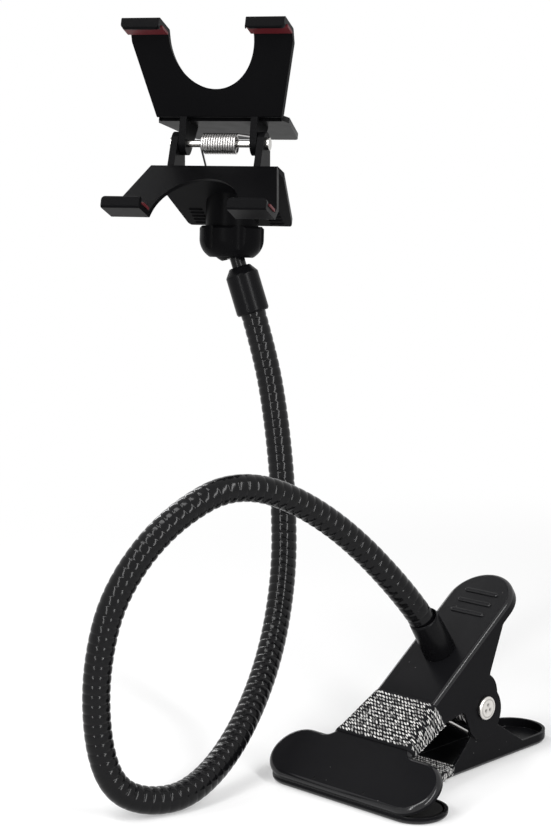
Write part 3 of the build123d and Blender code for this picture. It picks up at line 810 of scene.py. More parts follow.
@dataclass
class Band(Assembly):
    """Elastic sleeve round a jaw's neck, covered with rows of slanting stitches."""

    which: str
    jaw: JawFrame
    half: float
    flange_front: float
    flange_rear: float
    seat: float
    rear: float
    overhang: float = 0.0
    width: float = 23.0 * MM
    skin: float = 0.85 * MM
    pile: float = 0.3 * MM
    hem: float = 0.9 * MM
    pad_rear: float = 49.0 * MM
    neck_half_width: float = 20.6 * MM
    broad_corner: float = 4.0 * MM
    corner_share: float = 0.6
    corner_steps: int = 8
    around_steps: int = 150
    along_steps: int = 22
    stitch_across: float = 1.7 * MM
    stitch_along: float = 1.6 * MM
    stitch_length: float = 2.7 * MM
    stitch_width: float = 0.88 * MM
    stitch_height: float = 0.55 * MM
    stitch_sides: int = 8
    stitch_rings: int = 6
    least_size: float = 0.82
    slant: float = math.radians(-29.0)
    sway: float = 0.2
    stray: float = 0.55 * MM
    seed: int = 7

    @property
    def front(self) -> float:
        """Distance of the cloth's front edge from the pivot."""
        return self.rear + self.width + self.overhang

    def build(self) -> None:
        sleeve, girth = self._sleeve()
        body = f"clamp_{self.which}"
        self.keep(sleeve, Slot.BAND_WEAVE, body, f"{self.which}_band")
        stitches = self._stitches(girth)
        self.keep(stitches, Slot.BAND_WEAVE, body)

    def _section(self, along: float, steps: int) -> list[tuple[Vector, Vector]]:
        """Evenly spaced points and outward normals of the sleeve's section.

        Args:
            along: Place of the section along the jaw.
            steps: Number of points.

        Returns:
            Pairs of point and normal in the section's plane.
        """
        taper = (along + self.pad_rear) / (self.pad_rear - self.rear)
        half = self.neck_half_width + (self.half - self.neck_half_width) * taper + self.skin
        share = (along + self.rear + self.width) / self.width
        low = self.seat - self.skin
        high = self.flange_front + (self.flange_rear - self.flange_front) * share + self.skin
        broad = min(self.broad_corner, (high - low) * self.corner_share)
        quarter = math.pi / 2
        corners = (
            (half - broad, low + broad, broad, -quarter),
            (half - self.skin, high - self.skin, self.skin, 0.0),
            (self.skin - half, high - self.skin, self.skin, quarter),
            (broad - half, low + broad, broad, 2 * quarter),
        )
        outline: list[Vector] = []
        for x, z, radius, start in corners:
            for step in range(self.corner_steps + 1):
                angle = start + step / self.corner_steps * quarter
                outline.append(Vector((x + radius * math.cos(angle), z + radius * math.sin(angle))))
        outline.append(outline[0].copy())
        reach = reaches(outline)
        points = []
        side = 0
        for index in range(steps):
            wanted = reach[-1] * index / steps
            while reach[side + 1] < wanted:
                side += 1
            share = (wanted - reach[side]) / (reach[side + 1] - reach[side])
            edge = (outline[side + 1] - outline[side]).normalized()
            points.append((outline[side].lerp(outline[side + 1], share), Vector((edge.y, -edge.x))))
        return points

    def _tube(self, rows: list[tuple[float, float]], steps: int) -> bmesh.types.BMesh:
        """Tube through sections of the sleeve.

        Args:
            rows: Place along the jaw and sink below the skin of each section.
            steps: Points round each section.

        Returns:
            The tube's mesh, with its faces row by row.
        """
        shape = bmesh.new()
        rings = []
        for along, sink in rows:
            ring = []
            for point, normal in self._section(along, steps):
                spot = point - normal * sink
                ring.append(shape.verts.new(self.jaw.at(spot.x, along, spot.y)))
            rings.append(ring)
        for first, second in zip(rings, rings[1:]):
            for index in range(steps):
                after = (index + 1) % steps
                face = shape.faces.new((first[index], first[after], second[after], second[index]))
                face.smooth = True
        bmesh.ops.recalc_face_normals(shape, faces=shape.faces)
        return shape

    def _sleeve(self) -> tuple[bpy.types.Object, float]:
        """Dark sleeve with rolled edges.

        Returns:
            The sleeve, and its greatest girth in metres.
        """
        length = self.front - self.rear
        rows = [(-self.front, 2 * self.pile)]
        for step in range(self.along_steps + 1):
            share = step / self.along_steps
            edge = min(share, 1.0 - share) * length
            roll = max(0.0, 1.0 - edge / self.hem) ** 2 * self.pile
            rows.append((-self.front + share * length, self.pile / 2 + roll))
        rows.append((-self.rear, 2 * self.pile))
        shape = self._tube(rows, self.around_steps)
        girth = 0.0
        for along in (-self.front, -self.rear):
            ring = [point for point, _ in self._section(along, self.around_steps)]
            girth = max(girth, reaches(ring + ring[:1])[-1])
        return poured(shape, f"{self.which}_tweed_band"), girth

    def _stitches(self, girth: float) -> bpy.types.Object:
        """Slanting stitches, one for each cell of a net round the sleeve.

        Args:
            girth: Girth of the sleeve, in metres.

        Returns:
            The stitches as one piece.
        """
        count = round(girth / self.stitch_across)
        length = self.front - self.rear - 2 * self.hem
        rows = round(length / self.stitch_along)
        levels = [-self.front + self.hem + length * row / rows for row in range(rows + 1)]
        shape = self._tube([(level, self.stitch_height / 2) for level in levels], count)
        slanting = shape.faces.layers.float_vector.new("slant")
        shape.normal_update()
        for face in shape.faces:
            around = self.jaw.along.cross(face.normal).normalized()
            face[slanting] = around * math.cos(self.slant) + self.jaw.along * math.sin(self.slant)
        name = f"{self.which}_stitches"
        values = {
            "Length": self.stitch_length,
            "Width": self.stitch_width,
            "Height": self.stitch_height,
            "Sway": (self.sway,) * 3,
            "Stray": self.stray,
            "Seed": self.seed,
            "Material": self.shop.yarn,
        }
        return grown(poured(shape, f"{name}_net"), self._tree(), values, name)

    def _tree(self) -> NodeBench:
        """Lay one stitch on each face of a net.

        Returns:
            A bench for the geometry tree.
        """
        sizes = dict.fromkeys(("Length", "Width", "Height", "Stray"), NUMBER)
        bench = NodeBench.geometry("slanting_stitches", {**sizes, "Sway": DIRECTION, "Seed": WHOLE})
        upward = bench.add("GeometryNodeInputNormal")
        net = bench.store(bench.given("Geometry"), "up", VECTORS, bench.out(upward), "FACE")
        spots = bench.feed(bench.add("GeometryNodeMeshToPoints", mode="FACES"), Mesh=net)
        back = bench.maths("MULTIPLY", bench.given("Stray"), -1.0)
        shift = bench.add("FunctionNodeRandomValue")
        later = bench.maths("ADD", bench.given("Seed"), 2.0)
        bench.feed(shift, Min=back, Max=bench.given("Stray"), Seed=later)
        slide = bench.vectors("SCALE", bench.named("slant", VECTORS), bench.out(shift))
        moved = bench.add("GeometryNodeSetPosition")
        bench.feed(moved, Geometry=spots.outputs["Points"], Offset=slide)
        ball = bench.add("GeometryNodeMeshUVSphere")
        bench.feed(ball, Segments=self.stitch_sides, Rings=self.stitch_rings, Radius=0.5)
        stand = bench.add("FunctionNodeAlignRotationToVector", axis="Z")
        bench.feed(stand, Vector=bench.named("up", VECTORS))
        lie = bench.add("FunctionNodeAlignRotationToVector", axis="X", pivot_axis="Z")
        swing = bench.add("FunctionNodeRandomValue", data_type=VECTORS)
        other_way = bench.vectors("SCALE", bench.given("Sway"), -1.0)
        bench.feed(swing, Min=other_way, Max=bench.given("Sway"), Seed=bench.given("Seed"))
        toward = bench.vectors("ADD", bench.named("slant", VECTORS), bench.out(swing))
        bench.feed(lie, Rotation=bench.out(stand), Vector=toward)
        size = bench.add("ShaderNodeCombineXYZ")
        bench.feed(size, X=bench.given("Length"), Y=bench.given("Width"), Z=bench.given("Height"))
        uneven = bench.add("FunctionNodeRandomValue")
        bench.feed(uneven, Min=self.least_size, Max=1.0, Seed=bench.given("Seed"))
        scale = bench.vectors("SCALE", size.outputs["Vector"], bench.out(uneven))
        lay = bench.add("GeometryNodeInstanceOnPoints")
        bench.feed(
            lay,
            Points=moved.outputs["Geometry"],
            Instance=bench.smooth(ball.outputs["Mesh"]),
            Rotation=bench.out(lie),
            Scale=scale,
        )
        other = bench.maths("ADD", bench.given("Seed"), 1.0)
        tone = bench.feed(bench.add("FunctionNodeRandomValue"), Seed=other)
        laid = bench.store(lay.outputs["Instances"], SHADE, "FLOAT", bench.out(tone), "INSTANCE")
        bench.finish_geometry(laid)
        return bench


@dataclass
class Rivet(Assembly):
    """Silver rivet through the ears, with a groove and punch marks in its heads that are darkened with
    painted shade.
    """

    height: float
    shank: float = 3.0 * MM
    head: float = 5.0 * MM
    head_start: float = 15.82 * MM
    head_end: float = 17.5 * MM
    rim: float = 0.9 * MM
    underside: float = 0.1 * MM
    groove_place: float = 3.75 * MM
    groove_width: float = 0.24 * MM
    groove_depth: float = 0.25 * MM
    groove_shade: float = 0.5
    mark_count: int = 3
    mark_place: float = 1.5 * MM
    mark_width: float = 0.65 * MM
    mark_depth: float = 0.5 * MM
    turns: int = 96
    rings: int = 26
    rim_rings: int = 6

    def build(self) -> None:
        """Turn the rivet and tie it to the lower jaw."""
        shape = bmesh.new()
        # Painted shade of the groove and punch marks, stored on each vertex.
        punched = shape.verts.layers.float.new(RECESS)
        made: list[list[bmesh.types.BMVert]] = []
        profile = self._profile()
        for radius, place in profile + [(radius, -place) for radius, place in profile[-2::-1]]:
            ring = []
            for turn in range(self.turns if radius > 0 else 1):
                angle = 2 * math.pi * turn / self.turns
                y = radius * math.cos(angle)
                z = radius * math.sin(angle)
                depth, dark = self._punched(y, z) if abs(place) == self.head_end else (0.0, 0.0)
                vertex = shape.verts.new((place - math.copysign(depth, place), y, self.height + z))
                vertex[punched] = dark
                ring.append(vertex)
            made.append(ring)
        for first, second in zip(made, made[1:]):
            for turn in range(self.turns):
                after = (turn + 1) % self.turns
                corners = [first[turn % len(first)], first[after % len(first)]]
                corners += [second[after % len(second)], second[turn % len(second)]]
                shape.faces.new(list(dict.fromkeys(corners))).smooth = True
        bmesh.ops.recalc_face_normals(shape, faces=shape.faces)
        self.keep(poured(shape, "rivet_headed"), Slot.RIVET_STEEL, "clamp_lower", "pivot_rivet")

    def _profile(self) -> list[tuple[float, float]]:
        """Draw half of the rivet's outline.

        Returns:
            Radius and place of each ring, from a head's centre to the shank's middle.
        """
        flat = self.head - self.rim
        profile = [(flat * ring / self.rings, self.head_end) for ring in range(self.rings + 1)]
        for ring in range(1, self.rim_rings + 1):
            angle = math.pi / 2 * ring / self.rim_rings
            place = self.head_end - self.rim * (1 - math.cos(angle))
            profile.append((flat + self.rim * math.sin(angle), place))
        profile.append((self.head, self.head_start + self.underside))
        profile.append((self.head - self.underside, self.head_start))
        profile.append((self.shank, self.head_start))
        profile.append((self.shank, 0.0))
        return profile

    def _punched(self, y: float, z: float) -> tuple[float, float]:
        """Depth of the groove and the marks at a spot of a head, and how much painted shade darkens it
        there.

        Args:
            y: Place from the head's centre, along the clamp.
            z: Place from the head's centre, upwards.

        Returns:
            The depth in metres, and the painted shade from 0 to 1.
        """
        groove = math.exp(-(((math.hypot(y, z) - self.groove_place) / self.groove_width) ** 2))
        mark = 0.0
        for number in range(self.mark_count):
            toward = math.pi / 2 + number * 2 * math.pi / self.mark_count
            away = math.hypot(y - self.mark_place * math.cos(toward), z - self.mark_place * math.sin(toward))
            mark = max(mark, math.exp(-((away / self.mark_width) ** 2)))
        return groove * self.groove_depth + mark * self.mark_depth, max(groove * self.groove_shade, mark)


@dataclass
class Clamp(Assembly):
    """Sprung clamp of two stamped jaws with woven bands and a rivet."""

    pivot_height: float = 26.2 * MM
    rest_angle: float = math.radians(34.58)
    edge: float = 0.28 * MM

    def frames(self) -> dict[str, JawFrame]:
        """Place the two jaws as they are at rest.

        Returns:
            Frame of each jaw, by its name.
        """
        up = Vector((0.0, -math.sin(self.rest_angle), math.cos(self.rest_angle)))
        handle = Vector((0.0, math.cos(self.rest_angle), math.sin(self.rest_angle)))
        pivot = Vector((0.0, 0.0, self.pivot_height))
        return {
            "lower": JawFrame(Vector(), Vector((1, 0, 0)), Vector((0, 1, 0)), Vector((0, 0, 1))),
            "upper": JawFrame(pivot + up * self.pivot_height, Vector((-1, 0, 0)), handle, -up),
        }

    def build(self) -> None:
        """Make every piece of the clamp."""
        jaws = self.frames()
        bands = (
            Band(
                self.shop,
                "lower",
                jaws["lower"],
                half=14.25 * MM,
                flange_front=3.6 * MM,
                flange_rear=5.0 * MM,
                seat=0.85 * MM,
                rear=18.0 * MM,
            ),
            Band(
                self.shop,
                "upper",
                jaws["upper"],
                half=15.7 * MM,
                flange_front=4.0 * MM,
                flange_rear=12.0 * MM,
                seat=0.0,
                rear=22.0 * MM,
                overhang=1.8 * MM,
            ),
        )
        for band in bands:
            jaw = f"{band.which}_jaw"
            stamping = softened(jaw, f"{jaw}_painted", self.edge)
            mark_folds(stamping.data, band.jaw.inward)
            self.keep(stamping, Slot.JAW_PAINT, f"clamp_{band.which}", jaw)
            band.build()
        Rivet(self.shop, self.pivot_height).build()
        self.wind("clamp_spring", ("clamp_lower", "clamp_upper"), jaws["lower"].across)
        self.dress(
            {
                "lower_jaw_pad": Slot.JAW_RUBBER,
                "upper_jaw_pad": Slot.JAW_RUBBER,
                "base_screw": Slot.PIN_STEEL,
                "base_washer": Slot.PIN_STEEL,
            }
        )


@dataclass
class Neck(Assembly):
    """Ribbed bendable neck, in four lengths that each cross one bend."""

    radius: float = 5.5 * MM
    rib_pitch: float = 3.8 * MM
    rib_depth: float = 0.3 * MM
    inner_gain: float = 0.75
    groove_power: float = 3.2
    bend_reach: int = 2
    full_bend: float = 0.9 * MM
    cut_margin: float = 0.02
    rings_per_rib: int = 12
    segments: int = 32
    spline_order: int = 3
    spline_steps: int = 16
    route: tuple[tuple[float, float, float], ...] = (
        (0.0, -15.05, 55.78),
        (0.0, -26.0, 71.67),
        (-19.0, -56.0, 110.0),
        (-32.0, -94.0, 130.0),
        (-44.0, -123.0, 116.0),
        (-52.0, -144.0, 90.0),
        (-55.5, -151.0, 60.0),
        (-54.5, -151.5, 31.0),
        (-50.0, -147.5, 12.5),
        (-43.5, -135.5, 5.5),
        (-38.5, -116.5, 5.5),
        (-44.0, -87.0, 17.5),
        (-57.0, -54.0, 41.0),
        (-68.0, -33.0, 73.0),
        (-77.0, -24.0, 106.0),
        (-85.0, -20.0, 138.0),
        (-95.0, -17.0, 167.0),
        (-103.6, -20.5, 195.7),
    )
    bends: tuple[int, ...] = (2, 5, 12, 15)
    cuts: tuple[int, ...] = (3, 8, 13)
    chain: tuple[str, ...] = ("clamp_upper", "neck_2", "neck_3", "neck_4", "neck_end")

    def point(self, corner: int) -> Vector:
        """Corner of the route, in metres."""
        return Vector(self.route[corner]) * MM

    def middle(self, corner: int) -> Vector:
        """Middle of the run that leaves a corner, in metres."""
        return (self.point(corner) + self.point(corner + 1)) / 2

    def _line(self) -> bpy.types.Object:
        """Draw a smooth spline with the route's points as its control points.

        Returns:
            The curve object.
        """
        line = curve_line("neck_line", "NURBS", [self.point(corner) for corner in range(len(self.route))])
        spline = line.data.splines[0]
        spline.order_u = self.spline_order
        spline.use_endpoint_u = True
        spline.resolution_u = self.spline_steps
        return line

    @staticmethod
    def _beside(bench: NodeBench, step: int) -> bpy.types.NodeSocket:
        """Position of the ring some steps away along the sleeve.

        Args:
            bench: Bench of the tree.
            step: Number of rings, negative towards the start.

        Returns:
            The position.
        """
        index = bench.add("GeometryNodeInputIndex")
        where = bench.add("GeometryNodeInputPosition")
        node = bench.add("GeometryNodeFieldAtIndex", data_type=VECTORS, domain="POINT")
        other = bench.maths("ADD", index.outputs["Index"], float(step))
        return bench.out(bench.feed(node, Index=other, Value=where.outputs["Position"]))

    def _tree(self) -> NodeBench:
        """Sweep a ribbed sleeve along a curve and keep a range of its ribs.

        Returns:
            A bench for the geometry tree.
        """
        counts = dict.fromkeys(("Ribs", "Rings per Rib", "Segments"), WHOLE)
        sizes = dict.fromkeys(("Radius", "Rib Depth", "Inner Gain", "First Rib", "Last Rib"), NUMBER)
        bench = NodeBench.geometry("ribbed_sleeve", {**counts, **sizes})
        count = bench.maths("MULTIPLY", bench.given("Ribs"), bench.given("Rings per Rib"))
        rings = bench.add("GeometryNodeResampleCurve", mode="COUNT")
        bench.feed(rings, Curve=bench.given("Geometry"), Count=bench.maths("ADD", count, 1.0))
        place = bench.add("GeometryNodeSplineParameter")
        spot = bench.add("GeometryNodeInputPosition").outputs["Position"]
        reach = self.rings_per_rib * self.bend_reach
        beside = bench.vectors("ADD", self._beside(bench, -reach), self._beside(bench, reach))
        sag = bench.vectors("SUBTRACT", bench.vectors("SCALE", beside, 0.5), spot)
        rib = bench.maths("MULTIPLY", place.outputs["Factor"], bench.given("Ribs"))
        line = bench.store(rings.outputs["Curve"], "rib", "FLOAT", rib)
        line = bench.store(line, "centre", VECTORS, spot)
        line = bench.store(line, "bend", VECTORS, sag)
        circle = bench.add("GeometryNodeCurvePrimitiveCircle")
        bench.feed(circle, Radius=1.0, Resolution=bench.given("Segments"))
        sweep = bench.add("GeometryNodeCurveToMesh")
        bench.feed(sweep, Curve=line, Profile_Curve=circle.outputs["Curve"], Scale=bench.given("Radius"))
        here = bench.named("rib", "FLOAT")
        crest = bench.maths("MULTIPLY", bench.maths("PINGPONG", here, 0.5), 2.0)
        groove = bench.maths("POWER", bench.maths("SUBTRACT", 1.0, crest), self.groove_power)
        skin = bench.add("GeometryNodeInputPosition").outputs["Position"]
        outward = bench.vectors("SUBTRACT", skin, bench.named("centre", VECTORS))
        outward = bench.vectors("NORMALIZE", outward)
        inner = bench.vectors("DOT_PRODUCT", outward, bench.named("bend", VECTORS))
        inner = bench.maths("MAXIMUM", bench.maths("DIVIDE", inner, self.full_bend), -1.0)
        gain = bench.maths("MULTIPLY", bench.maths("MINIMUM", inner, 1.0), bench.given("Inner Gain"))
        depth = bench.maths("MULTIPLY", groove, bench.given("Rib Depth"))
        depth = bench.maths("MULTIPLY", depth, bench.maths("ADD", gain, 1.0))
        carve = bench.add("GeometryNodeSetPosition")
        inward = bench.vectors("SCALE", outward, bench.maths("MULTIPLY", depth, -1.0))
        bench.feed(carve, Geometry=sweep.outputs["Mesh"], Offset=inward)
        first = bench.maths("SUBTRACT", bench.given("First Rib"), self.cut_margin)
        last = bench.maths("ADD", bench.given("Last Rib"), self.cut_margin)
        outside = bench.maths(
            "MAXIMUM", bench.maths("LESS_THAN", here, first), bench.maths("GREATER_THAN", here, last)
        )
        cut = bench.add("GeometryNodeDeleteGeometry", domain="POINT")
        bench.feed(cut, Geometry=carve.outputs["Geometry"], Selection=outside)
        bench.finish_geometry(bench.smooth(cut.outputs["Geometry"]))
        return bench

    def _measure(self, line: bpy.types.Object) -> tuple[float, list[float]]:
        """Length of the spline, and how far along it each cut lies.

        Args:
            line: Curve object of the neck.

        Returns:
            The length, and the places of the cuts, in metres.
        """
        mesh = plain_mesh(line, "neck_measure")
        points = [vertex.co.copy() for vertex in mesh.vertices]
        bpy.data.meshes.remove(mesh)
        reach = reaches(points)
        places = []
        for cut in self.cuts:
            wanted = self.middle(cut)
            nearest = min(range(len(points)), key=lambda index: (points[index] - wanted).length)
            places.append(reach[nearest])
        return reach[-1], places

    def build(self) -> None:
        """Sweep the sleeve, cut it into lengths and blend each across its bend."""
        line = self._line()
        length, places = self._measure(line)
        ribs = round(length / self.rib_pitch)
        limits = [0] + [round(place / length * ribs) for place in places] + [ribs]
        bench = self._tree()
        for number, bend in enumerate(self.bends, start=1):
            sweep = line.copy()
            sweep.data = line.data.copy()
            bpy.context.scene.collection.objects.link(sweep)
            values = {
                "Ribs": ribs,
                "Rings per Rib": self.rings_per_rib,
                "Segments": self.segments,
                "Radius": self.radius,
                "Rib Depth": self.rib_depth,
                "Inner Gain": self.inner_gain,
                "First Rib": float(limits[number - 1]),
                "Last Rib": float(limits[number]),
                "Material": self.shop.materials[Slot.NECK_SLEEVE],
            }
            piece = grown(sweep, bench, values, f"neck_sleeve_{number}")
            nodes = [f"neck_run_{number}", f"neck_flex_{number}"]
            if number == len(self.bends):
                nodes.append(f"neck_run_{number + 1}")
            bodies = (self.chain[number - 1], self.chain[number])
            ends = (self.middle(bend - 1), self.middle(bend))
            self.cross(piece, Slot.NECK_SLEEVE, bodies, ends, *nodes)
        bpy.data.objects.remove(line)


@dataclass(frozen=True)
class GripRow:
    """Row of ridges on the outer face of a clip handle.

    Args:
        name: Name of the piece.
        body: Body that it rides on.
        first: Place of the first ridge across the clip, out of its front and up it, in millimetres.
        last: Place of the last ridge, the same way.
        count: Number of ridges.
        half_bar: Half length of each ridge, in millimetres.
    """

    name: str
    body: str
    first: tuple[float, float, float]
    last: tuple[float, float, float]
    count: int
    half_bar: float


@dataclass
class Head(Assembly):
    """Ferrules, ball joint and clip with its claws."""

    metal_edge: float = 0.3 * MM
    plastic_edge: float = 0.55 * MM
    clip_centre: tuple[float, float, float] = (-88.377, -62.37, 267.485)
    clip_turn: float = math.radians(28.0)
    clip_lean: float = math.radians(20.0)
    ridge_radius: float = 0.9 * MM
    ridge_rings: int = 15
    ridge_sides: int = 12
    ridge_end_power: float = 10.0
    ridge_end_taper: float = 0.92
    grips: tuple[GripRow, ...] = (
        GripRow("upper_grip_ridges", "clip_upper", (0.0, -49.0, 13.9), (0.0, -63.0, 15.73), 6, 14.0),
        GripRow("left_grip_ridges", "clip_lower", (-17.2, -58.0, -20.75), (-17.2, -69.0, -23.45), 5, 3.4),
        GripRow("right_grip_ridges", "clip_lower", (17.2, -58.0, -20.75), (17.2, -69.0, -23.45), 5, 3.4),
    )

    def build(self) -> None:
        """Make every piece of the head and the base ferrule."""
        for node, body, edge, slot in (
            ("base_ferrule", "clamp_upper", self.metal_edge, Slot.FERRULE_BLACK),
            ("top_ferrule", "neck_end", self.metal_edge, Slot.FERRULE_BLACK),
            ("lock_nut", "nut", self.plastic_edge, Slot.CLIP_BLACK),
            ("clip_lower_frame", "clip_lower", self.plastic_edge, Slot.CLIP_BLACK),
            ("clip_upper_frame", "clip_upper", self.plastic_edge, Slot.CLIP_BLACK),
        ):
            self.keep(softened(node, f"{node}_finished", edge), slot, body, node)
        bench = self._ridge_tree()
        for grip in self.grips:
            self._ridges(grip, bench)
        self.wind("clip_spring", ("clip_lower", "clip_upper"), self._axes()[0])
        pads = [f"claw_pad_{level}_{side}" for level in ("lower", "upper") for side in ("left", "right")]
        self.dress(
            {
                "ball_stud": Slot.BALL_BLACK,
                "ball_seat": Slot.CLIP_BLACK,
                "clip_hinge_pin": Slot.PIN_STEEL,
                **dict.fromkeys(pads, Slot.CLAW_RUBBER),
            }
        )

    def _axes(self) -> tuple[Vector, Vector, Vector]:
        """Find the clip's own directions.

        Returns:
            Directions across it, out of its front and up it.
        """
        across = Vector((math.cos(self.clip_turn), math.sin(self.clip_turn), 0.0))
        level = Vector((math.sin(self.clip_turn), -math.cos(self.clip_turn), 0.0))
        front = level * math.cos(self.clip_lean) + Vector((0.0, 0.0, math.sin(self.clip_lean)))
        return across, front, front.cross(across)

    def _ridges(self, grip: GripRow, bench: NodeBench) -> None:
        """Add one row of ridges.

        Args:
            grip: Place and size of the row.
            bench: Bench of the ridge tree.
        """
        across, front, up = self._axes()
        centre = Vector(self.clip_centre)
        spots = [(centre + across * x + front * y + up * z) * MM for x, y, z in (grip.first, grip.last)]
        line = curve_line(f"{grip.name}_line", "POLY", spots)
        values = {
            "Count": grip.count,
            "Half Bar": tuple(across * grip.half_bar * MM),
            "Radius": self.ridge_radius,
            "Material": self.shop.materials[Slot.CLIP_BLACK],
        }
        self.keep(grown(line, bench, values, grip.name), Slot.CLIP_BLACK, grip.body)

    def _ridge_tree(self) -> NodeBench:
        """Lay round-ended bars at even steps along a line.

        Returns:
            A bench for the geometry tree.
        """
        inputs = {"Count": WHOLE, "Half Bar": DIRECTION, "Radius": NUMBER}
        bench = NodeBench.geometry("ridge_row", inputs)
        steps = bench.add("GeometryNodeResampleCurve", mode="COUNT")
        bench.feed(steps, Curve=bench.given("Geometry"), Count=bench.given("Count"))
        bar = bench.add("GeometryNodeCurvePrimitiveLine", mode="POINTS")
        far_end = bench.vectors("SCALE", bench.given("Half Bar"), -1.0)
        bench.feed(bar, Start=far_end, End=bench.given("Half Bar"))
        fine = bench.add("GeometryNodeResampleCurve", mode="COUNT")
        bench.feed(fine, Curve=bar.outputs["Curve"], Count=self.ridge_rings)
        place = bench.add("GeometryNodeSplineParameter")
        centred = bench.maths("SUBTRACT", bench.maths("MULTIPLY", place.outputs["Factor"], 2.0), 1.0)
        taper = bench.maths("POWER", bench.maths("ABSOLUTE", centred), self.ridge_end_power)
        taper = bench.maths("MULTIPLY", taper, self.ridge_end_taper)
        thick = bench.maths("SQRT", bench.maths("SUBTRACT", 1.0, taper))
        circle = bench.add("GeometryNodeCurvePrimitiveCircle")
        bench.feed(circle, Radius=1.0, Resolution=self.ridge_sides)
        solid = bench.add("GeometryNodeCurveToMesh")
        bench.feed(
            solid,
            Curve=fine.outputs["Curve"],
            Profile_Curve=circle.outputs["Curve"],
            Scale=bench.maths("MULTIPLY", thick, bench.given("Radius")),
            Fill_Caps=True,
        )
        lay = bench.add("GeometryNodeInstanceOnPoints")
        bench.feed(lay, Points=steps.outputs["Curve"], Instance=bench.smooth(solid.outputs["Mesh"]))
        bench.finish_geometry(lay.outputs["Instances"])
        return bench


@dataclass(frozen=True)
class Lamp:
    """One flat lamp of the studio.

    Args:
        name: Name of the lamp.
        first: Middle of one end, in metres.
        last: Middle of the other end, in metres.
        width: Width across its length, in metres.
        power: Power in watts.
    """

    name: str
    first: tuple[float, float, float]
    last: tuple[float, float, float]
    width: float
    power: float


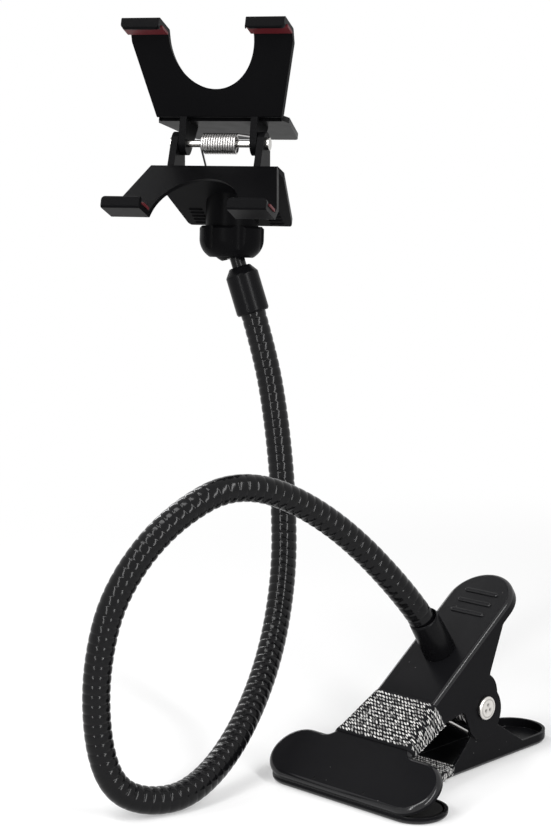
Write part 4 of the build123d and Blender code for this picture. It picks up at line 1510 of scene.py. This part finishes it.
@dataclass
class Studio:
    """Floor, light and camera."""

    floor_half: float = 6.0
    floor_colour: tuple[float, float, float] = (0.94, 0.94, 0.94)
    floor_glow: float = 0.3
    glow_start: float = 0.22
    glow_end: float = 0.6
    ambient: float = 0.3
    lamp_target: tuple[float, float, float] = (-0.05, -0.07, 0.13)
    camera_place: tuple[float, float, float] = (0.5075, -0.6377, 0.2767)
    camera_right: tuple[float, float, float] = (0.7213, 0.6927, 0.0)
    camera_up: tuple[float, float, float] = (-0.1093, 0.1138, 0.9875)
    lens: float = 86.54
    sensor: float = 36.0
    lamps: tuple[Lamp, ...] = (
        Lamp("left_strip", (0.264, -1.165, 0.04), (-0.127, -0.805, 1.011), 0.09, 5.4),
        Lamp("right_strip", (1.015, -0.5, 0.04), (0.635, 0.085, 1.16), 0.13, 9.0),
        Lamp("top_box", (-0.461, -0.62, 1.17), (0.235, -0.694, 1.17), 0.28, 6.0),
        Lamp("back_strip", (-1.071, 0.223, 0.415), (-0.656, 0.104, 1.031), 0.12, 3.0),
    )

    def build(self) -> None:
        """Set up floor, world, lamps, camera and view."""
        self._floor()
        self._world()
        for lamp in self.lamps:
            self._lamp(lamp)
        self._camera()
        bpy.context.scene.view_settings.view_transform = "Standard"

    @staticmethod
    def _seen(bench: NodeBench) -> bpy.types.NodeSocket:
        """Find the rays that show the background: camera, glossy and transmission rays.

        Args:
            bench: Bench of the tree.

        Returns:
            A value that is 1 for them.
        """
        path = bench.add("ShaderNodeLightPath").outputs
        bounced = bench.maths("MAXIMUM", path["Is Glossy Ray"], path["Is Transmission Ray"])
        return bench.maths("MAXIMUM", path["Is Camera Ray"], bounced)

    def _floor(self) -> None:
        """Plain white floor that keeps a soft shadow."""
        half = self.floor_half
        mesh = bpy.data.meshes.new("floor")
        corners = [(-half, -half, 0), (half, -half, 0), (half, half, 0), (-half, half, 0)]
        mesh.from_pydata(corners, [], [(0, 1, 2, 3)])
        floor = new_object("floor", mesh)
        material, bench = NodeBench.material("white_floor")
        bench.tree.nodes.clear()
        matt = bench.feed(bench.add("ShaderNodeBsdfDiffuse"), Color=(*self.floor_colour, 1.0))
        glow = bench.feed(bench.add("ShaderNodeEmission"), Color=WHITE)
        away = bench.vectors("LENGTH", bench.add("ShaderNodeTexCoord").outputs["Object"])
        reach = bench.add("ShaderNodeMapRange", interpolation_type="SMOOTHSTEP")
        bench.feed(reach, Value=away, From_Min=self.glow_start, From_Max=self.glow_end)
        bench.feed(reach, To_Min=self.floor_glow, To_Max=1.0)
        share = bench.maths("MULTIPLY", self._seen(bench), bench.out(reach))
        output = bench.add("ShaderNodeOutputMaterial")
        both = self._blended(bench, share, matt.outputs["BSDF"], glow.outputs["Emission"])
        bench.feed(output, Surface=both)
        mesh.materials.append(material)

    @staticmethod
    def _blended(
        bench: NodeBench,
        share: bpy.types.NodeSocket,
        first: bpy.types.NodeSocket,
        second: bpy.types.NodeSocket,
    ) -> bpy.types.NodeSocket:
        """Mix of two shaders.

        Args:
            bench: Bench of the tree.
            share: Share of the second shader.
            first: First shader.
            second: Second shader.

        Returns:
            The mixed shader.
        """
        mix = bench.add("ShaderNodeMixShader")
        for socket, value in zip(mix.inputs, (share, first, second)):
            bench.tree.links.new(value, socket)
        return mix.outputs["Shader"]

    def _world(self) -> None:
        """White surround, dimmer as a light than as a background."""
        world = bpy.data.worlds.new("studio")
        bpy.context.scene.world = world
        world.use_nodes = True
        bench = NodeBench(world.node_tree)
        bench.tree.nodes.clear()
        light = bench.add("ShaderNodeBackground")
        bench.feed(light, Color=WHITE, Strength=self.ambient)
        plain = bench.feed(bench.add("ShaderNodeBackground"), Color=WHITE)
        output = bench.add("ShaderNodeOutputWorld")
        seen = self._seen(bench)
        both = self._blended(bench, seen, light.outputs["Background"], plain.outputs["Background"])
        bench.feed(output, Surface=both)

    def _lamp(self, lamp: Lamp) -> None:
        """Add one lamp that faces the object.

        Args:
            lamp: Ends, width and power of the lamp.
        """
        first = Vector(lamp.first)
        last = Vector(lamp.last)
        data = bpy.data.lights.new(lamp.name, "AREA")
        data.shape = "RECTANGLE"
        data.size = lamp.width
        data.size_y = (last - first).length
        data.energy = lamp.power
        obj = new_object(lamp.name, data)
        middle = (first + last) / 2
        along = (last - first).normalized()
        back = middle - Vector(self.lamp_target)
        back = (back - along * back.dot(along)).normalized()
        turn = Matrix((along.cross(back), along, back)).transposed().to_4x4()
        obj.matrix_world = Matrix.Translation(middle) @ turn
        obj.visible_camera = False

    def _camera(self) -> None:
        """Camera at the fitted place and angle."""
        data = bpy.data.cameras.new("camera")
        data.sensor_fit = "VERTICAL"
        data.sensor_height = self.sensor
        data.lens = self.lens
        camera = new_object("camera", data)
        right = Vector(self.camera_right).normalized()
        up = Vector(self.camera_up).normalized()
        turn = Matrix((right, up, right.cross(up))).transposed().to_4x4()
        camera.matrix_world = Matrix.Translation(self.camera_place) @ turn
        bpy.context.scene.camera = camera


def main() -> None:
    """Build every sub-assembly, then the studio."""
    logging.basicConfig(level=logging.INFO)
    shop = Paintshop()
    for assembly in (Neck(shop), Clamp(shop), Head(shop)):
        assembly.build()
    Studio().build()


if __name__ == "__main__":
    main()
